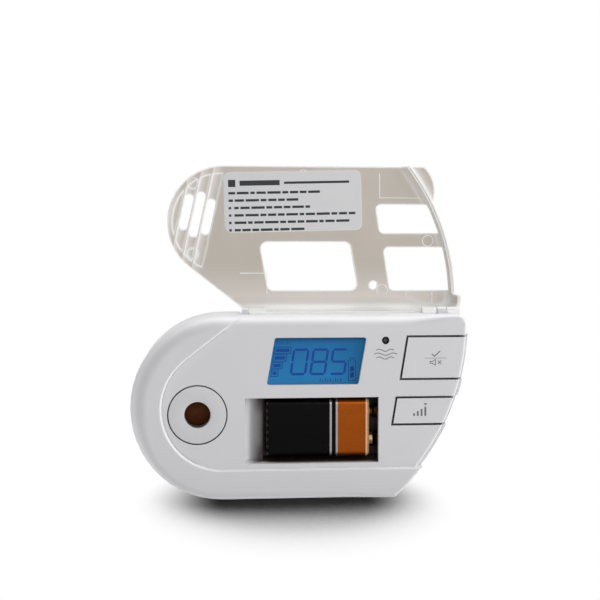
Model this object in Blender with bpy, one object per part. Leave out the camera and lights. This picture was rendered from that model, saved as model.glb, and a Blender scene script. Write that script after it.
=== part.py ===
"""Wall-hung carbon monoxide and gas alarm with a hinged front cover.

Frame: metres, +Z up. The origin lies on the wall face, at the middle of the left round end's height.
The wall face is the plane y = 0, and the alarm looks along -Y. X runs to the right.
The cover is modelled open, swung up by 180 degrees from its closed place.
"""

import math

import bmesh
import bpy
from mathutils import Matrix, Vector

MM = 0.001

# Casing
CASE_DEPTH = 42 * MM
REAR_DEPTH = 12 * MM
END_CENTRE_X = -35 * MM
SIDE_CENTRE_DROP = 4.5 * MM
SIDE_RADIUS = 101.7 * MM
BUTTON_COLUMN = 40.2 * MM
TOP_MARGIN = 10 * MM
WINDOW_TO_WELL = 5.8 * MM
BASE_MARGIN = 15.9 * MM
TOP_CORNER_RADIUS = 4.5 * MM
BOTTOM_CORNER_RADIUS = 2.5 * MM
TOP_EDGE_RADIUS = 7.5 * MM
BOTTOM_EDGE_RADIUS = 4 * MM
SIDE_EDGE_RADIUS = 2 * MM
EDGE_BLEND_LENGTH = 25 * MM
REAR_CHAMFER = 1.5 * MM
LEAST_CORNER = 0.5 * MM
WALL = 2 * MM
FIT_GAP = 0.3 * MM
HIDDEN_STEP = 0.25 * MM

# Recessed panel and the cover that fills it
COVER_THICKNESS = 1.5 * MM
COVER_FACE_GAP = 0.6 * MM
COVER_SIDE_GAP = 0.4 * MM
PANEL_DROP = 0.3 * MM
PANEL_MARGIN = 14 * MM
PANEL_SLOPE = math.radians(38)
STEP_DRAFT = 0.8 * MM
STEP_EASE = 0.5 * MM
COVER_SKIRT = 4.6 * MM
FINGER_TAB_RADIUS = 15.9 * MM
FINGER_TAB_INSET = 9.2 * MM
FINGER_TAB_RISE = 11.6 * MM
FINGER_TAB_SETBACK = 0.8 * MM
UPPER_EAR_LENGTH = 7 * MM
SKIRT_CORNER = 3 * MM
SHOULDER_GAP = 0.6 * MM
COVER_SWING_ROOM = 1.2 * MM
SHOULDER_EASE = 2 * MM

COVER_WINDOW_GROW = 1 * MM
COVER_WINDOW_CORNER = 3 * MM
SIDE_WINDOW_CORNER = 2.2 * MM
WINDOW_LEFT_EXTRA = 1.2 * MM
SLOT_PITCH = 5.2 * MM
SLOT_STEP = 1.1 * MM
SLOT_LENGTH = 17 * MM
SLOT_MIDDLE_EXTRA = 4.5 * MM
SLOT_WIDTH = 4.1 * MM
SLOT_LEAN = math.radians(12.5)
GROOVE_MARGIN = 3.7 * MM
GROOVE_RIDGE = 0.5 * MM
GROOVE_DEPTH = 0.4 * MM
LABEL_WIDTH = 65 * MM
LABEL_HEIGHT = 28 * MM
LABEL_X = -1 * MM
LABEL_RISE = 16.9 * MM
LABEL_CORNER = 2.9 * MM
LABEL_TILT = math.radians(-1.4)
LABEL_GAP = 0.15 * MM
LABEL_THICKNESS = 0.15 * MM

# Hinge
HINGE_LIFT = 0.5 * MM
WALL_CLEARANCE = 2 * MM
KNUCKLE_RADIUS = 2.3 * MM
HINGE_PIN_RADIUS = 1.1 * MM
HINGE_PIN_GAP = 0.2 * MM
HINGE_RUNNING_GAP = 0.5 * MM
LEFT_NUB = (-26 * MM, -23.2 * MM)
LEFT_TAB_WIDTH = 7.4 * MM
RIGHT_NUB_INSET = 6.1 * MM
RIGHT_NUB_WIDTH = 4.1 * MM
RIGHT_TAB_WIDTH = 6.5 * MM
RIGHT_KNUCKLE_WIDTH = 6 * MM

# Display
WINDOW_HEIGHT = 21 * MM
WINDOW_WIDTH = 41.1 * MM
WINDOW_INSET = 45.6 * MM
WINDOW_LEAN = 3.7 * MM
WINDOW_CORNER = 1.1 * MM
GLASS_MARGIN = 2 * MM
GLASS_THICKNESS = 1.8 * MM
HOLDER_WALL = 1.4 * MM
CONTACT_STRIP_WIDTH = 2 * MM

# Status lamp
LAMP_INSET = 37.1 * MM
LAMP_DROP = 1.4 * MM
LAMP_RADIUS = 1.5 * MM
LAMP_HOLE_GAP = 0.2 * MM
LAMP_SINK = 0.4 * MM
LAMP_FLANGE = 1 * MM

# Buttons
BUTTON_GAP = 0.8 * MM
BUTTON_TRAVEL = 0.8 * MM
BUTTON_SKIRT = 4.7 * MM
BUTTON_WALL = 1.6 * MM
BUTTON_LIP = 0.7 * MM
BUTTON_LEAN = 0.16
TEST_BUTTON_HEIGHT = 18.5 * MM
TEST_BUTTON_WIDTH = 26.9 * MM
BUTTON_SPACING = 8.9 * MM
PEAK_BUTTON_HEIGHT = 11.5 * MM
PEAK_BUTTON_WIDTH = 31.8 * MM
SWITCH_SIZE = 6 * MM
SWITCH_HEIGHT = 3.5 * MM
SWITCH_PLUNGER = 0.8 * MM
PRESS_GAP = 0.1 * MM
STEM_RADIUS = 1.8 * MM

# Horn
HORN_INSET = 11.3 * MM
HORN_Z = -2.9 * MM
HORN_CAP_RADIUS = 12.8 * MM
HORN_CAP_GAP = 0.5 * MM
HORN_HOLE_RADIUS = 5.8 * MM
HORN_DEPTH = 15.5 * MM
HORN_FLANGE = 2.2 * MM
HORN_FLANGE_THICKNESS = 1.2 * MM
HORN_NECK_WALL = 1.4 * MM
HORN_EASE = 0.3 * MM
PIEZO_THICKNESS = 0.5 * MM

# Nine volt block battery and its well
BATTERY_LENGTH = 46.4 * MM
BATTERY_WIDTH = 26.5 * MM
BATTERY_THICKNESS = 17.5 * MM
BATTERY_EDGE_RADIUS = 2.6 * MM
BATTERY_CRIMP = 0.9 * MM
BATTERY_LEFT = -15.5 * MM
BATTERY_SINK = 3.9 * MM
TERMINAL_SPACING = 12.7 * MM
TERMINAL_HEIGHT = 2.2 * MM
WELL_END_GAP = 3.6 * MM
WELL_GAP_BELOW = 1.9 * MM
WELL_GAP_ABOVE = 0.9 * MM
WELL_WALL = 1.5 * MM
SCOOP_LENGTH = 8.5 * MM
SCOOP_GAP = 1.4 * MM
CONTACT_POCKET = 2.9 * MM
CONTACT_GAP = 0.35 * MM
CONTACT_STRIP = 0.5 * MM
CONTACT_LENGTH = 13.5 * MM
CONTACT_WIDTH = 5.5 * MM
BATTERY_PLATE_INSET = 2.2 * MM
STUD_RADIUS = 2.8 * MM
STUD_FLANGE = 0.6 * MM

# Circuit board and what it carries
BOARD_DROP = 10.4 * MM
BOARD_THICKNESS = 1.6 * MM
BOARD_MARGIN = 13.3 * MM
UPPER_ROW_DROP = 18.4 * MM
BOARD_EDGE = 2 * MM
BOARD_SCREW_INSET = 4 * MM
BOARD_SCREW_DROP = 8 * MM
BOARD_SCREW_LOW_Z = -20 * MM
LAMP_SCREW_SPACING = 4.9 * MM
CO_SENSOR_RADIUS = 8.5 * MM
CO_SENSOR_HEIGHT = 13 * MM
CO_SENSOR_Z = 8 * MM
SENSOR_STEP = 1 * MM
GAS_SENSOR_RADIUS = 5 * MM
GAS_SENSOR_HEIGHT = 9 * MM
GAS_SENSOR_X = 8 * MM
CAPACITOR_RADIUS = 3.2 * MM
CAPACITOR_HEIGHT = 10 * MM
CAPACITOR_X = 22 * MM
CHIP_SIZE = 12 * MM
CHIP_HEIGHT = 1.6 * MM
CHIP_X = -10 * MM
POWER_MODULE_WIDTH = 22 * MM
POWER_MODULE_HEIGHT = 6.5 * MM
POWER_MODULE_DEPTH = 9 * MM
POWER_MODULE_X = 10 * MM

# Fasteners
BOSS_RADIUS = 3 * MM
SCREW_RADIUS = 1.2 * MM
SCREW_HEAD_RADIUS = 2.5 * MM
SCREW_HEAD_HEIGHT = 1.6 * MM
PILOT_GAP = 0.3 * MM
KEYHOLE_HEAD_RADIUS = 4.4 * MM
KEYHOLE_SLOT_RADIUS = 2.3 * MM
KEYHOLE_RISE = 8 * MM
KEYHOLE_SPACING = 82 * MM
KEYHOLE_MIDDLE_X = -4 * MM
KEYHOLE_Z = 4 * MM
SCREW_SINK = 1.2 * MM
CASE_SCREW_REACH = 11 * MM
BOARD_SCREW_REACH = 5 * MM
CASE_SCREW_ANGLE = math.radians(10)
LIP_HEIGHT = 2.5 * MM
LIP_WALL = 1.2 * MM
INLET_Z = -22 * MM
INLET_RADIUS = 4.2 * MM
INLET_FLOOR = 3 * MM
VENT_COUNT = 8
VENT_PITCH = 5 * MM
VENT_START_X = -21 * MM
VENT_Z = -12 * MM
VENT_LENGTH = 20 * MM
VENT_WIDTH = 2.2 * MM

# Sizes that follow from the ones above
RECESS = COVER_THICKNESS + COVER_FACE_GAP
SIDE_RECESS = COVER_THICKNESS + COVER_SIDE_GAP
WELL_HEIGHT = WELL_GAP_BELOW + BATTERY_WIDTH + WELL_GAP_ABOVE
END_RADIUS = (BASE_MARGIN + WELL_HEIGHT + WINDOW_TO_WELL + WINDOW_HEIGHT + TOP_MARGIN) / 2
FRONT_Y = -CASE_DEPTH
SEAM_Y = -REAR_DEPTH
PANEL_Y = FRONT_Y + RECESS
PANEL_INNER_Y = PANEL_Y + WALL
PANEL_RADIUS = END_RADIUS - PANEL_MARGIN
PANEL_BOTTOM_Z = -PANEL_DROP - PANEL_RADIUS

WELL_BOTTOM = BASE_MARGIN - END_RADIUS
WELL_TOP = WELL_BOTTOM + WELL_HEIGHT
BATTERY_BOTTOM = WELL_BOTTOM + WELL_GAP_BELOW
BATTERY_Y = PANEL_Y + BATTERY_SINK
BATTERY_RIGHT = BATTERY_LEFT + BATTERY_LENGTH
BATTERY_MID_Z = BATTERY_BOTTOM + BATTERY_WIDTH / 2
BATTERY_MID_Y = BATTERY_Y + BATTERY_THICKNESS / 2
WELL_FLOOR_Y = BATTERY_Y + BATTERY_THICKNESS + FIT_GAP
WELL_STOP_X = BATTERY_LEFT - SCOOP_GAP
WELL_RIGHT = BATTERY_RIGHT + WELL_END_GAP
WELL_OUTER_RIGHT = WELL_RIGHT + CONTACT_POCKET + WELL_WALL

RIGHT_X = WELL_RIGHT + BUTTON_COLUMN
SIDE_CENTRE_X = RIGHT_X - SIDE_RADIUS
SIDE_CENTRE_Z = END_RADIUS - SIDE_CENTRE_DROP

WINDOW_BOTTOM = WELL_TOP + WINDOW_TO_WELL
WINDOW_TOP = WINDOW_BOTTOM + WINDOW_HEIGHT
WINDOW_RIGHT_TOP = RIGHT_X - WINDOW_INSET
WINDOW_LEFT_TOP = WINDOW_RIGHT_TOP - WINDOW_WIDTH
LAMP_X = RIGHT_X - LAMP_INSET
LAMP_Z = WINDOW_TOP - LAMP_DROP
HORN_X = END_CENTRE_X - HORN_INSET

TEST_BUTTON_TOP = WINDOW_TOP
TEST_BUTTON_BOTTOM = TEST_BUTTON_TOP - TEST_BUTTON_HEIGHT
TEST_BUTTON_LEFT = RIGHT_X - TEST_BUTTON_WIDTH
PEAK_BUTTON_TOP = TEST_BUTTON_BOTTOM - BUTTON_SPACING
PEAK_BUTTON_BOTTOM = PEAK_BUTTON_TOP - PEAK_BUTTON_HEIGHT
PEAK_BUTTON_LEFT = RIGHT_X - PEAK_BUTTON_WIDTH

RIGHT_NUB = (RIGHT_X - RIGHT_NUB_INSET - RIGHT_NUB_WIDTH, RIGHT_X - RIGHT_NUB_INSET)
HINGE_Y = -(CASE_DEPTH + WALL_CLEARANCE) / 2
HINGE_Z = END_RADIUS + HINGE_LIFT
COVER_BACK_Y = HINGE_Y - KNUCKLE_RADIUS - HINGE_RUNNING_GAP
COVER_TOP_Z = END_RADIUS + SIDE_RECESS
STOP_Z = 2 * HINGE_Z - COVER_TOP_Z - FIT_GAP
HINGE_BAR_BOTTOM = STOP_Z - 1.5 * WALL

BOARD_Y = PANEL_Y + BOARD_DROP
BOARD_BACK_Y = BOARD_Y + BOARD_THICKNESS
BOARD_LEFT = WINDOW_LEFT_TOP - WINDOW_LEAN - BOARD_MARGIN
UPPER_ROW_Z = END_RADIUS - UPPER_ROW_DROP
LOWER_ROW_Z = (WELL_BOTTOM - END_RADIUS) / 2
HEAD_FLOOR_Y = -SCREW_SINK - SCREW_HEAD_HEIGHT - FIT_GAP
SWITCH_TIP_Y = BOARD_Y - FIT_GAP - SWITCH_HEIGHT - SWITCH_PLUNGER
FAR = 200 * MM


# ---------------------------------------------------------------- helpers

def clear_scene():
    for item in list(bpy.data.objects):
        bpy.data.objects.remove(item)


def linear(channel):
    return channel / 12.92 if channel <= 0.04045 else ((channel + 0.055) / 1.055) ** 2.4


def material(name, colour, roughness, metallic=0.0, alpha=1.0):
    """A Principled material from an sRGB hex colour."""
    made = bpy.data.materials.get(name)
    if made:
        return made
    made = bpy.data.materials.new(name)
    made.use_nodes = True
    shader = made.node_tree.nodes["Principled BSDF"]
    red, green, blue = (linear(int(colour[i:i + 2], 16) / 255) for i in (0, 2, 4))
    shader.inputs["Base Color"].default_value = (red, green, blue, 1)
    shader.inputs["Roughness"].default_value = roughness
    shader.inputs["Metallic"].default_value = metallic
    shader.inputs["Alpha"].default_value = alpha
    return made


def finish_mesh(name, mesh_data, smooth_angle=30):
    """Turn a bmesh into an object with faces out and sharp edges kept."""
    bmesh.ops.recalc_face_normals(mesh_data, faces=mesh_data.faces[:])
    mesh = bpy.data.meshes.new(name)
    mesh_data.to_mesh(mesh)
    mesh_data.free()
    mesh.shade_smooth()
    mesh.set_sharp_from_angle(angle=math.radians(smooth_angle))
    made = bpy.data.objects.new(name, mesh)
    bpy.context.collection.objects.link(made)
    return made


def loft(name, rings):
    """Join rings of equal length into one closed body with flat ends.

    Coordinates are kept to the nanometre, so that points meant to lie in one plane do.
    """
    body = bmesh.new()
    loops = [[body.verts.new([round(c, 9) for c in point]) for point in ring] for ring in rings]
    count = len(loops[0])
    for lower, upper in zip(loops, loops[1:]):
        for i in range(count):
            j = (i + 1) % count
            body.faces.new((lower[i], lower[j], upper[j], upper[i]))
    body.faces.new(loops[0])
    body.faces.new(loops[-1])
    return finish_mesh(name, body)


def prism(name, outline, near, far, axis="Y"):
    """Extrude an outline along an axis. Outlines are (x, z) for Y, (y, z) for X and (x, y) for Z."""
    place = placer(axis)
    return loft(name, [[place(point, depth) for point in outline] for depth in (near, far)])


def block(name, low, high):
    outline = [(low[0], low[2]), (high[0], low[2]), (high[0], high[2]), (low[0], high[2])]
    return prism(name, outline, low[1], high[1])


def circle(centre, radius, steps=24):
    return [(centre[0] + radius * math.cos(2 * math.pi * i / steps),
             centre[1] + radius * math.sin(2 * math.pi * i / steps)) for i in range(steps)]


def arc(centre, radius, start, end, steps):
    """Points on an arc, with both ends, angles in radians."""
    angles = [start + (end - start) * i / steps for i in range(steps + 1)]
    return [(centre[0] + radius * math.cos(a), centre[1] + radius * math.sin(a)) for a in angles]


def rounded(corners, radius, steps=4):
    """An outline through the corners, each one rounded by the radius."""
    points = []
    count = len(corners)
    for i, corner in enumerate(corners):
        here = Vector(corner)
        back = (Vector(corners[i - 1]) - here).normalized()
        ahead = (Vector(corners[(i + 1) % count]) - here).normalized()
        half = back.angle(ahead) / 2
        reach = radius / math.tan(half)
        middle = here + (back + ahead).normalized() * (radius / math.sin(half))
        first = here + back * reach - middle
        last = here + ahead * reach - middle
        turn = first.angle_signed(last)
        for k in range(steps + 1):
            points.append(tuple(middle + Matrix.Rotation(-turn * k / steps, 2) @ first))
    return points


def placer(axis):
    """How a point of an outline and a depth along the axis become a point in space."""
    return {
        "X": lambda point, depth: (depth, point[0], point[1]),
        "Y": lambda point, depth: (point[0], depth, point[1]),
        "Z": lambda point, depth: (point[0], point[1], depth),
    }[axis]


def turned(name, centre, profile, steps=32, closed=True, axis="Y"):
    """Spin a profile of (radius, depth) points about a line along the axis.

    A closed profile makes a ring. An open one starts and ends on the axis.
    """
    body = bmesh.new()
    place = placer(axis)
    loops = []
    for radius, depth in profile:
        points = circle(centre, radius, steps) if radius else [centre]
        loops.append([body.verts.new(place(point, depth)) for point in points])
    pairs = list(zip(loops, loops[1:]))
    if closed:
        pairs.append((loops[-1], loops[0]))
    for lower, upper in pairs:
        for i in range(steps):
            j = (i + 1) % steps
            corners = [loop[k % len(loop)] for loop, k in ((lower, i), (lower, j), (upper, j), (upper, i))]
            unique = list(dict.fromkeys(corners))
            if len(unique) > 2:
                body.faces.new(unique)
    return finish_mesh(name, body)


def rod(name, centre, radius, near, far, steps=20, axis="X"):
    return prism(name, circle(centre, radius, steps), near, far, axis)


def joined(name, pieces):
    """Put several separate solids into one object."""
    body = bmesh.new()
    for piece in pieces:
        body.from_mesh(piece.data)
        bpy.data.objects.remove(piece)
    return finish_mesh(name, body)


def guide(tool):
    tool.hide_render = True
    tool.display_type = "WIRE"
    return tool


def combine(target, tool, operation):
    """Add a Boolean that cuts, joins or intersects the target with a hidden tool."""
    modifier = target.modifiers.new(tool.name, "BOOLEAN")
    modifier.operation = operation
    modifier.solver = "EXACT"
    modifier.object = guide(tool)


def cut(target, tool):
    combine(target, tool, "DIFFERENCE")


def add(target, tool):
    combine(target, tool, "UNION")


def keep_inside(target, tool):
    combine(target, tool, "INTERSECT")


def dress(made, finish):
    made.data.materials.clear()
    made.data.materials.append(finish)
    return made


# ---------------------------------------------------------------- finishes

def white_plastic():
    return material("white_plastic", "F2F2F3", 0.42)


def button_plastic():
    return material("button_plastic", "EFEFF0", 0.4)


def translucent_plastic():
    return material("translucent_plastic", "D8D0C6", 0.3, alpha=0.75)


def black_plastic():
    return material("black_plastic", "1B1A1A", 0.4)


def steel():
    return material("steel", "C9C7C2", 0.3, 1.0)


def brass():
    return material("brass", "C8A25A", 0.32, 1.0)


# ---------------------------------------------------------------- casing outlines

def smooth(value):
    value = min(max(value, 0), 1)
    return value * value * (3 - 2 * value)


def corner_radius(radius, grow):
    return max(radius + grow, LEAST_CORNER)


def case_outline(grow=0, side_grow=0):
    """The casing's outline as (x, z, normal angle), anticlockwise from the bottom left.

    grow moves the round end, the top and the bottom outward, and side_grow the bowed right side.
    """
    end = END_RADIUS + grow
    side = SIDE_RADIUS + side_grow
    low_corner = corner_radius(BOTTOM_CORNER_RADIUS, grow)
    high_corner = corner_radius(TOP_CORNER_RADIUS, grow)
    low_angle = math.asin((low_corner - end - SIDE_CENTRE_Z) / (side - low_corner))
    high_angle = math.asin((end - high_corner - SIDE_CENTRE_Z) / (side - high_corner))
    low_x = SIDE_CENTRE_X + (side - low_corner) * math.cos(low_angle)
    high_x = SIDE_CENTRE_X + (side - high_corner) * math.cos(high_angle)
    quarter = math.pi / 2
    points = [(END_CENTRE_X, -end, -quarter)]
    for i in range(5):
        points.append((low_x - EDGE_BLEND_LENGTH * (1 - i / 5), -end, -quarter))
    for i in range(5):
        angle = -quarter + (low_angle + quarter) * i / 4
        x = low_x + low_corner * math.cos(angle)
        z = -end + low_corner * (1 + math.sin(angle))
        points.append((x, z, angle))
    for i in range(1, 12):
        angle = low_angle + (high_angle - low_angle) * i / 12
        x = SIDE_CENTRE_X + side * math.cos(angle)
        z = SIDE_CENTRE_Z + side * math.sin(angle)
        points.append((x, z, angle))
    for i in range(6):
        angle = high_angle + (quarter - high_angle) * i / 5
        x = high_x + high_corner * math.cos(angle)
        z = end - high_corner * (1 - math.sin(angle))
        points.append((x, z, angle))
    for i in range(1, 6):
        points.append((high_x - EDGE_BLEND_LENGTH * i / 5, end, quarter))
    for i in range(26):
        angle = quarter + math.pi * i / 26
        points.append((END_CENTRE_X + end * math.cos(angle), end * math.sin(angle), angle))
    return points


def edge_radius(x, angle, corner_x, side_radius):
    """The front edge's rounding: wide on the left and top, tight along the right side."""
    normal_x = math.cos(angle)
    normal_z = math.sin(angle)
    wide = TOP_EDGE_RADIUS
    if normal_z < 0:
        wide += (BOTTOM_EDGE_RADIUS - TOP_EDGE_RADIUS) * smooth(-normal_z)
    toward_corner = 1 - (corner_x[normal_z > 0] - x) / EDGE_BLEND_LENGTH
    along = smooth(toward_corner) if abs(normal_z) > normal_x > -0.001 else 0
    share = max(along, smooth(normal_x / 0.4))
    return wide + (side_radius - wide) * share


def outline_ring(outline, inset, depth):
    return [(x - inset * math.cos(a), depth, z - inset * math.sin(a)) for x, z, a in outline]


def flat_body(name, grow, front, back, chamfer=0, side_grow=None):
    """A solid of the casing's outline with a square front edge."""
    outline = case_outline(grow, grow if side_grow is None else side_grow)
    rings = [outline_ring(outline, 0, front), outline_ring(outline, 0, back - chamfer)]
    if chamfer:
        rings.append(outline_ring(outline, chamfer, back))
    return loft(name, rings)


def case_body(name, grow, side_grow, front, back, steps=5):
    """A solid of the casing's outline with its rounded front edge.

    grow also widens the rounding, so that a wall keeps its thickness round the edge.
    """
    outline = case_outline(grow, side_grow)
    corner_x = {
        True: max(x for x, z, a in outline if abs(a - math.pi / 2) < 1e-6),
        False: max(x for x, z, a in outline if abs(a + math.pi / 2) < 1e-6),
    }
    room = 0.9 * corner_radius(BOTTOM_CORNER_RADIUS, grow)
    side_radius = min(max(SIDE_EDGE_RADIUS + grow, LEAST_CORNER), room)
    radii = [edge_radius(x, a, corner_x, side_radius - grow) + grow for x, z, a in outline]
    radii = [max(radius, LEAST_CORNER / 2) for radius in radii]
    rings = []
    for step in range(steps + 1):
        turn = math.pi / 2 * (1 - step / steps)
        loop = []
        for (x, z, a), radius in zip(outline, radii):
            inset = radius * (1 - math.cos(turn))
            y = front + radius * (1 - math.sin(turn))
            loop.append((x - inset * math.cos(a), y, z - inset * math.sin(a)))
        rings.append(loop)
    rings.append(outline_ring(outline, 0, back))
    return loft(name, rings)


def panel_outline(inset=0, shift=0):
    """The recessed panel's region, which runs past the case at the top and the right.

    The shift moves its left side inward alone.
    """
    radius = PANEL_RADIUS - inset
    bottom = PANEL_BOTTOM_Z + inset
    top_of_arc = math.pi / 2 + PANEL_SLOPE
    centre = (END_CENTRE_X + shift, -PANEL_DROP)
    points = [(FAR, bottom)]
    points += arc(centre, radius, -math.pi / 2, top_of_arc - 2 * math.pi, 20)
    tangent_x, tangent_z = points[-1]
    rise = 2 * END_RADIUS - tangent_z
    points.append((tangent_x + rise / math.tan(PANEL_SLOPE), tangent_z + rise))
    points.append((FAR, 2 * END_RADIUS))
    return points


# ---------------------------------------------------------------- casing

def side_x(z, inset=0):
    """Where the bowed side, moved in by the inset, stands at height z."""
    radius = SIDE_RADIUS - inset
    return SIDE_CENTRE_X + math.sqrt(radius ** 2 - (z - SIDE_CENTRE_Z) ** 2)


def column_middle(z):
    """The middle of the room between the battery well and the bowed side at height z."""
    return (WELL_OUTER_RIGHT + side_x(z, WALL)) / 2


def case_screw_places():
    """Centres of the four case screws, as (x, z). The third one's boss grows from the bowed side."""
    reach = END_RADIUS - WALL - BOSS_RADIUS + HIDDEN_STEP
    left_x = END_CENTRE_X - reach * math.sin(CASE_SCREW_ANGLE)
    left_z = reach * math.cos(CASE_SCREW_ANGLE)
    high_x = RIGHT_X - WALL - BOSS_RADIUS + HIDDEN_STEP
    high_z = HINGE_BAR_BOTTOM - BOSS_RADIUS - FIT_GAP
    low_x = side_x(-reach, WALL + 2 * BOSS_RADIUS)
    return [(left_x, left_z), (left_x, -left_z), (high_x, high_z), (low_x, -reach)]


def board_screw_places():
    left = BOARD_LEFT + BOARD_SCREW_INSET
    high = END_RADIUS - BOARD_SCREW_DROP
    low = BOARD_SCREW_LOW_Z
    return [(left, high), (left, -high), (LAMP_X + LAMP_SCREW_SPACING, high), (column_middle(low), low)]


def well_profile(grow):
    """The battery well cut across its length, as (x, y), with the finger scoop at its left."""
    floor = WELL_FLOOR_Y + grow
    stop = WELL_STOP_X
    left = stop - SCOOP_LENGTH - grow
    right = WELL_RIGHT + CONTACT_POCKET
    scoop = arc((stop, PANEL_INNER_Y), SCOOP_LENGTH + grow, math.pi, math.pi / 2 + 0.15, 8)
    scoop = [(x, y) for x, y in scoop if x < stop - grow]
    points = [(left, PANEL_INNER_Y - (WALL / 2 if grow else 2 * WALL))]
    points += scoop
    points += [(stop - grow, scoop[-1][1] + (0 if grow else HIDDEN_STEP)), (stop - grow, floor)]
    points += [(right + grow, floor), (right + grow, PANEL_INNER_Y - (WALL / 2 if grow else 0))]
    if not grow:
        points += [(WELL_RIGHT, PANEL_INNER_Y), (WELL_RIGHT, PANEL_INNER_Y - 2 * WALL)]
    return points


def button_region(left, bottom, top, grow=0, right=FAR):
    """A button's face, with its left edge leaning like the display."""
    lean = BUTTON_LEAN
    low_x = left - lean * (top - bottom)
    return [
        (low_x - grow - lean * grow, bottom - grow),
        (right, bottom - grow),
        (right, top + grow),
        (left - grow + lean * grow, top + grow),
    ]


def window_outline(grow=0, corner=WINDOW_CORNER):
    lean = WINDOW_LEAN / (WINDOW_TOP - WINDOW_BOTTOM) * grow
    low_left = WINDOW_LEFT_TOP - WINDOW_LEAN
    low_right = WINDOW_RIGHT_TOP - WINDOW_LEAN
    return rounded([
        (low_left - grow - lean, WINDOW_BOTTOM - grow),
        (low_right + grow - lean, WINDOW_BOTTOM - grow),
        (WINDOW_RIGHT_TOP + grow + lean, WINDOW_TOP + grow),
        (WINDOW_LEFT_TOP - grow + lean, WINDOW_TOP + grow),
    ], corner)


def tab_spans():
    """The stretches of the hinge line that belong to the cover."""
    gap = HINGE_RUNNING_GAP
    left = LEFT_NUB[1] + gap
    right = RIGHT_NUB[0] - gap
    knuckle = RIGHT_NUB[1] + gap
    return [
        (left, left + LEFT_TAB_WIDTH),
        (right - RIGHT_TAB_WIDTH, right),
        (knuckle, knuckle + RIGHT_KNUCKLE_WIDTH),
    ]


def hinge_cutters(name):
    """What the open cover and its knuckles need cleared from the case's top."""
    axis = (HINGE_Y, HINGE_Z)
    run = KNUCKLE_RADIUS + HINGE_RUNNING_GAP
    pieces = []
    for i, (near, far) in enumerate(tab_spans()):
        span = (near - HINGE_RUNNING_GAP, far + HINGE_RUNNING_GAP)
        pieces.append(rod(f"{name}_trough_{i}", axis, run, *span))
    return joined(name, pieces)


def stop_recess(name):
    """The lowered strip behind the hinge, where the open cover's top wall comes to rest."""
    near = HINGE_Y + KNUCKLE_RADIUS
    return block(name, (LEFT_NUB[0] - FIT_GAP, near, STOP_Z), (FAR, WALL, STOP_Z + FAR))


def front_shell():
    """The front housing: a proud rim and foot round a panel set back by the cover's thickness."""
    back = SEAM_Y - FIT_GAP
    shell = case_body("front_shell", 0, SIDE_RECESS, FRONT_Y, back)
    cut(shell, panel_cutter(back))
    add(shell, case_body("shell_panel", -HIDDEN_STEP, 0, PANEL_Y, back))
    add(shell, side_shoulder(back))
    cut(shell, case_body("shell_hollow", -WALL, -WALL, PANEL_INNER_Y, back + WALL))
    add(shell, shell_inner_parts())
    add(shell, hinge_bar("shell_hinge_bar", HINGE_Y - 2 * KNUCKLE_RADIUS, back - HIDDEN_STEP))
    add(shell, hinge_nubs())
    cut(shell, hinge_cutters("shell_troughs"))
    cut(shell, stop_recess("shell_stop_recess"))
    cut(shell, shell_openings())
    return dress(shell, white_plastic())


def panel_cutter(back):
    """What leaves the rim and the foot proud of the panel, with a sloped and softened step."""
    stages = [(STEP_DRAFT + STEP_EASE, FRONT_Y - WALL), (STEP_DRAFT + STEP_EASE, FRONT_Y),
              (STEP_DRAFT, FRONT_Y + STEP_EASE / 2), (0, PANEL_Y - FIT_GAP), (0, back + WALL)]
    return loft("shell_panel_cut", [[(x, y, z) for x, z in panel_outline(-grow)] for grow, y in stages])


def side_shoulder(back):
    """The side behind the cover's skirt, flush with the shut cover, with room for its ear."""
    start = FRONT_Y + COVER_SKIRT + SHOULDER_GAP
    behind = COVER_BACK_Y + SHOULDER_GAP
    ear = END_RADIUS - UPPER_EAR_LENGTH - SHOULDER_GAP
    outer = SIDE_RECESS - HIDDEN_STEP
    shoulder = case_body("side_shoulder", -2 * HIDDEN_STEP, outer, PANEL_Y, back, 1)
    low = -END_RADIUS + WALL
    outline = [(start, low), (back + WALL, low), (back + WALL, FAR), (behind, FAR), (behind, ear),
               (start + SHOULDER_EASE, ear), (start, ear - SHOULDER_EASE)]
    keep_inside(shoulder, prism("shoulder_span", outline, side_x(low, 2 * WALL), FAR, "X"))
    return shoulder


def hinge_bar(name, near, far):
    """The thick bar under the case's top, which leaves material below the stop recess."""
    side = SIDE_CENTRE_X + SIDE_RADIUS - 1.5 * WALL
    low = (LEFT_NUB[0] - WALL, near, HINGE_BAR_BOTTOM)
    return block(name, low, (side, far, END_RADIUS - WALL / 2))


def shell_inner_parts():
    """The battery well, the screw bosses and the board's posts."""
    seam = SEAM_Y - FIT_GAP
    root = PANEL_INNER_Y - WALL / 2
    pieces = [prism("well", well_profile(WELL_WALL), WELL_BOTTOM - WELL_WALL, WELL_TOP + WELL_WALL, "Z")]
    button_end = PANEL_Y + BUTTON_SKIRT + BUTTON_TRAVEL + 2 * FIT_GAP
    for i, place in enumerate(case_screw_places()):
        start = button_end if i == 2 else root
        pieces.append(rod(f"case_boss_{i}", place, BOSS_RADIUS, start, seam, 16, "Y"))
    for i, place in enumerate(board_screw_places()):
        pieces.append(rod(f"board_post_{i}", place, 0.8 * BOSS_RADIUS, root, BOARD_Y - FIT_GAP, 16, "Y"))
    return joined("shell_inner_parts", pieces)


def hinge_nubs():
    """The two ears on the case's top that hold the hinge pins."""
    pieces = []
    for i, (near, far) in enumerate((LEFT_NUB, RIGHT_NUB)):
        base = END_RADIUS - WALL / 2
        outline = arc((HINGE_Y, HINGE_Z), KNUCKLE_RADIUS, 0, math.pi, 10)
        outline += [(HINGE_Y - KNUCKLE_RADIUS, base), (HINGE_Y + KNUCKLE_RADIUS, base)]
        pieces.append(prism(f"nub_{i}", outline, near, far, "X"))
    return joined("hinge_nubs", pieces)


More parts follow.
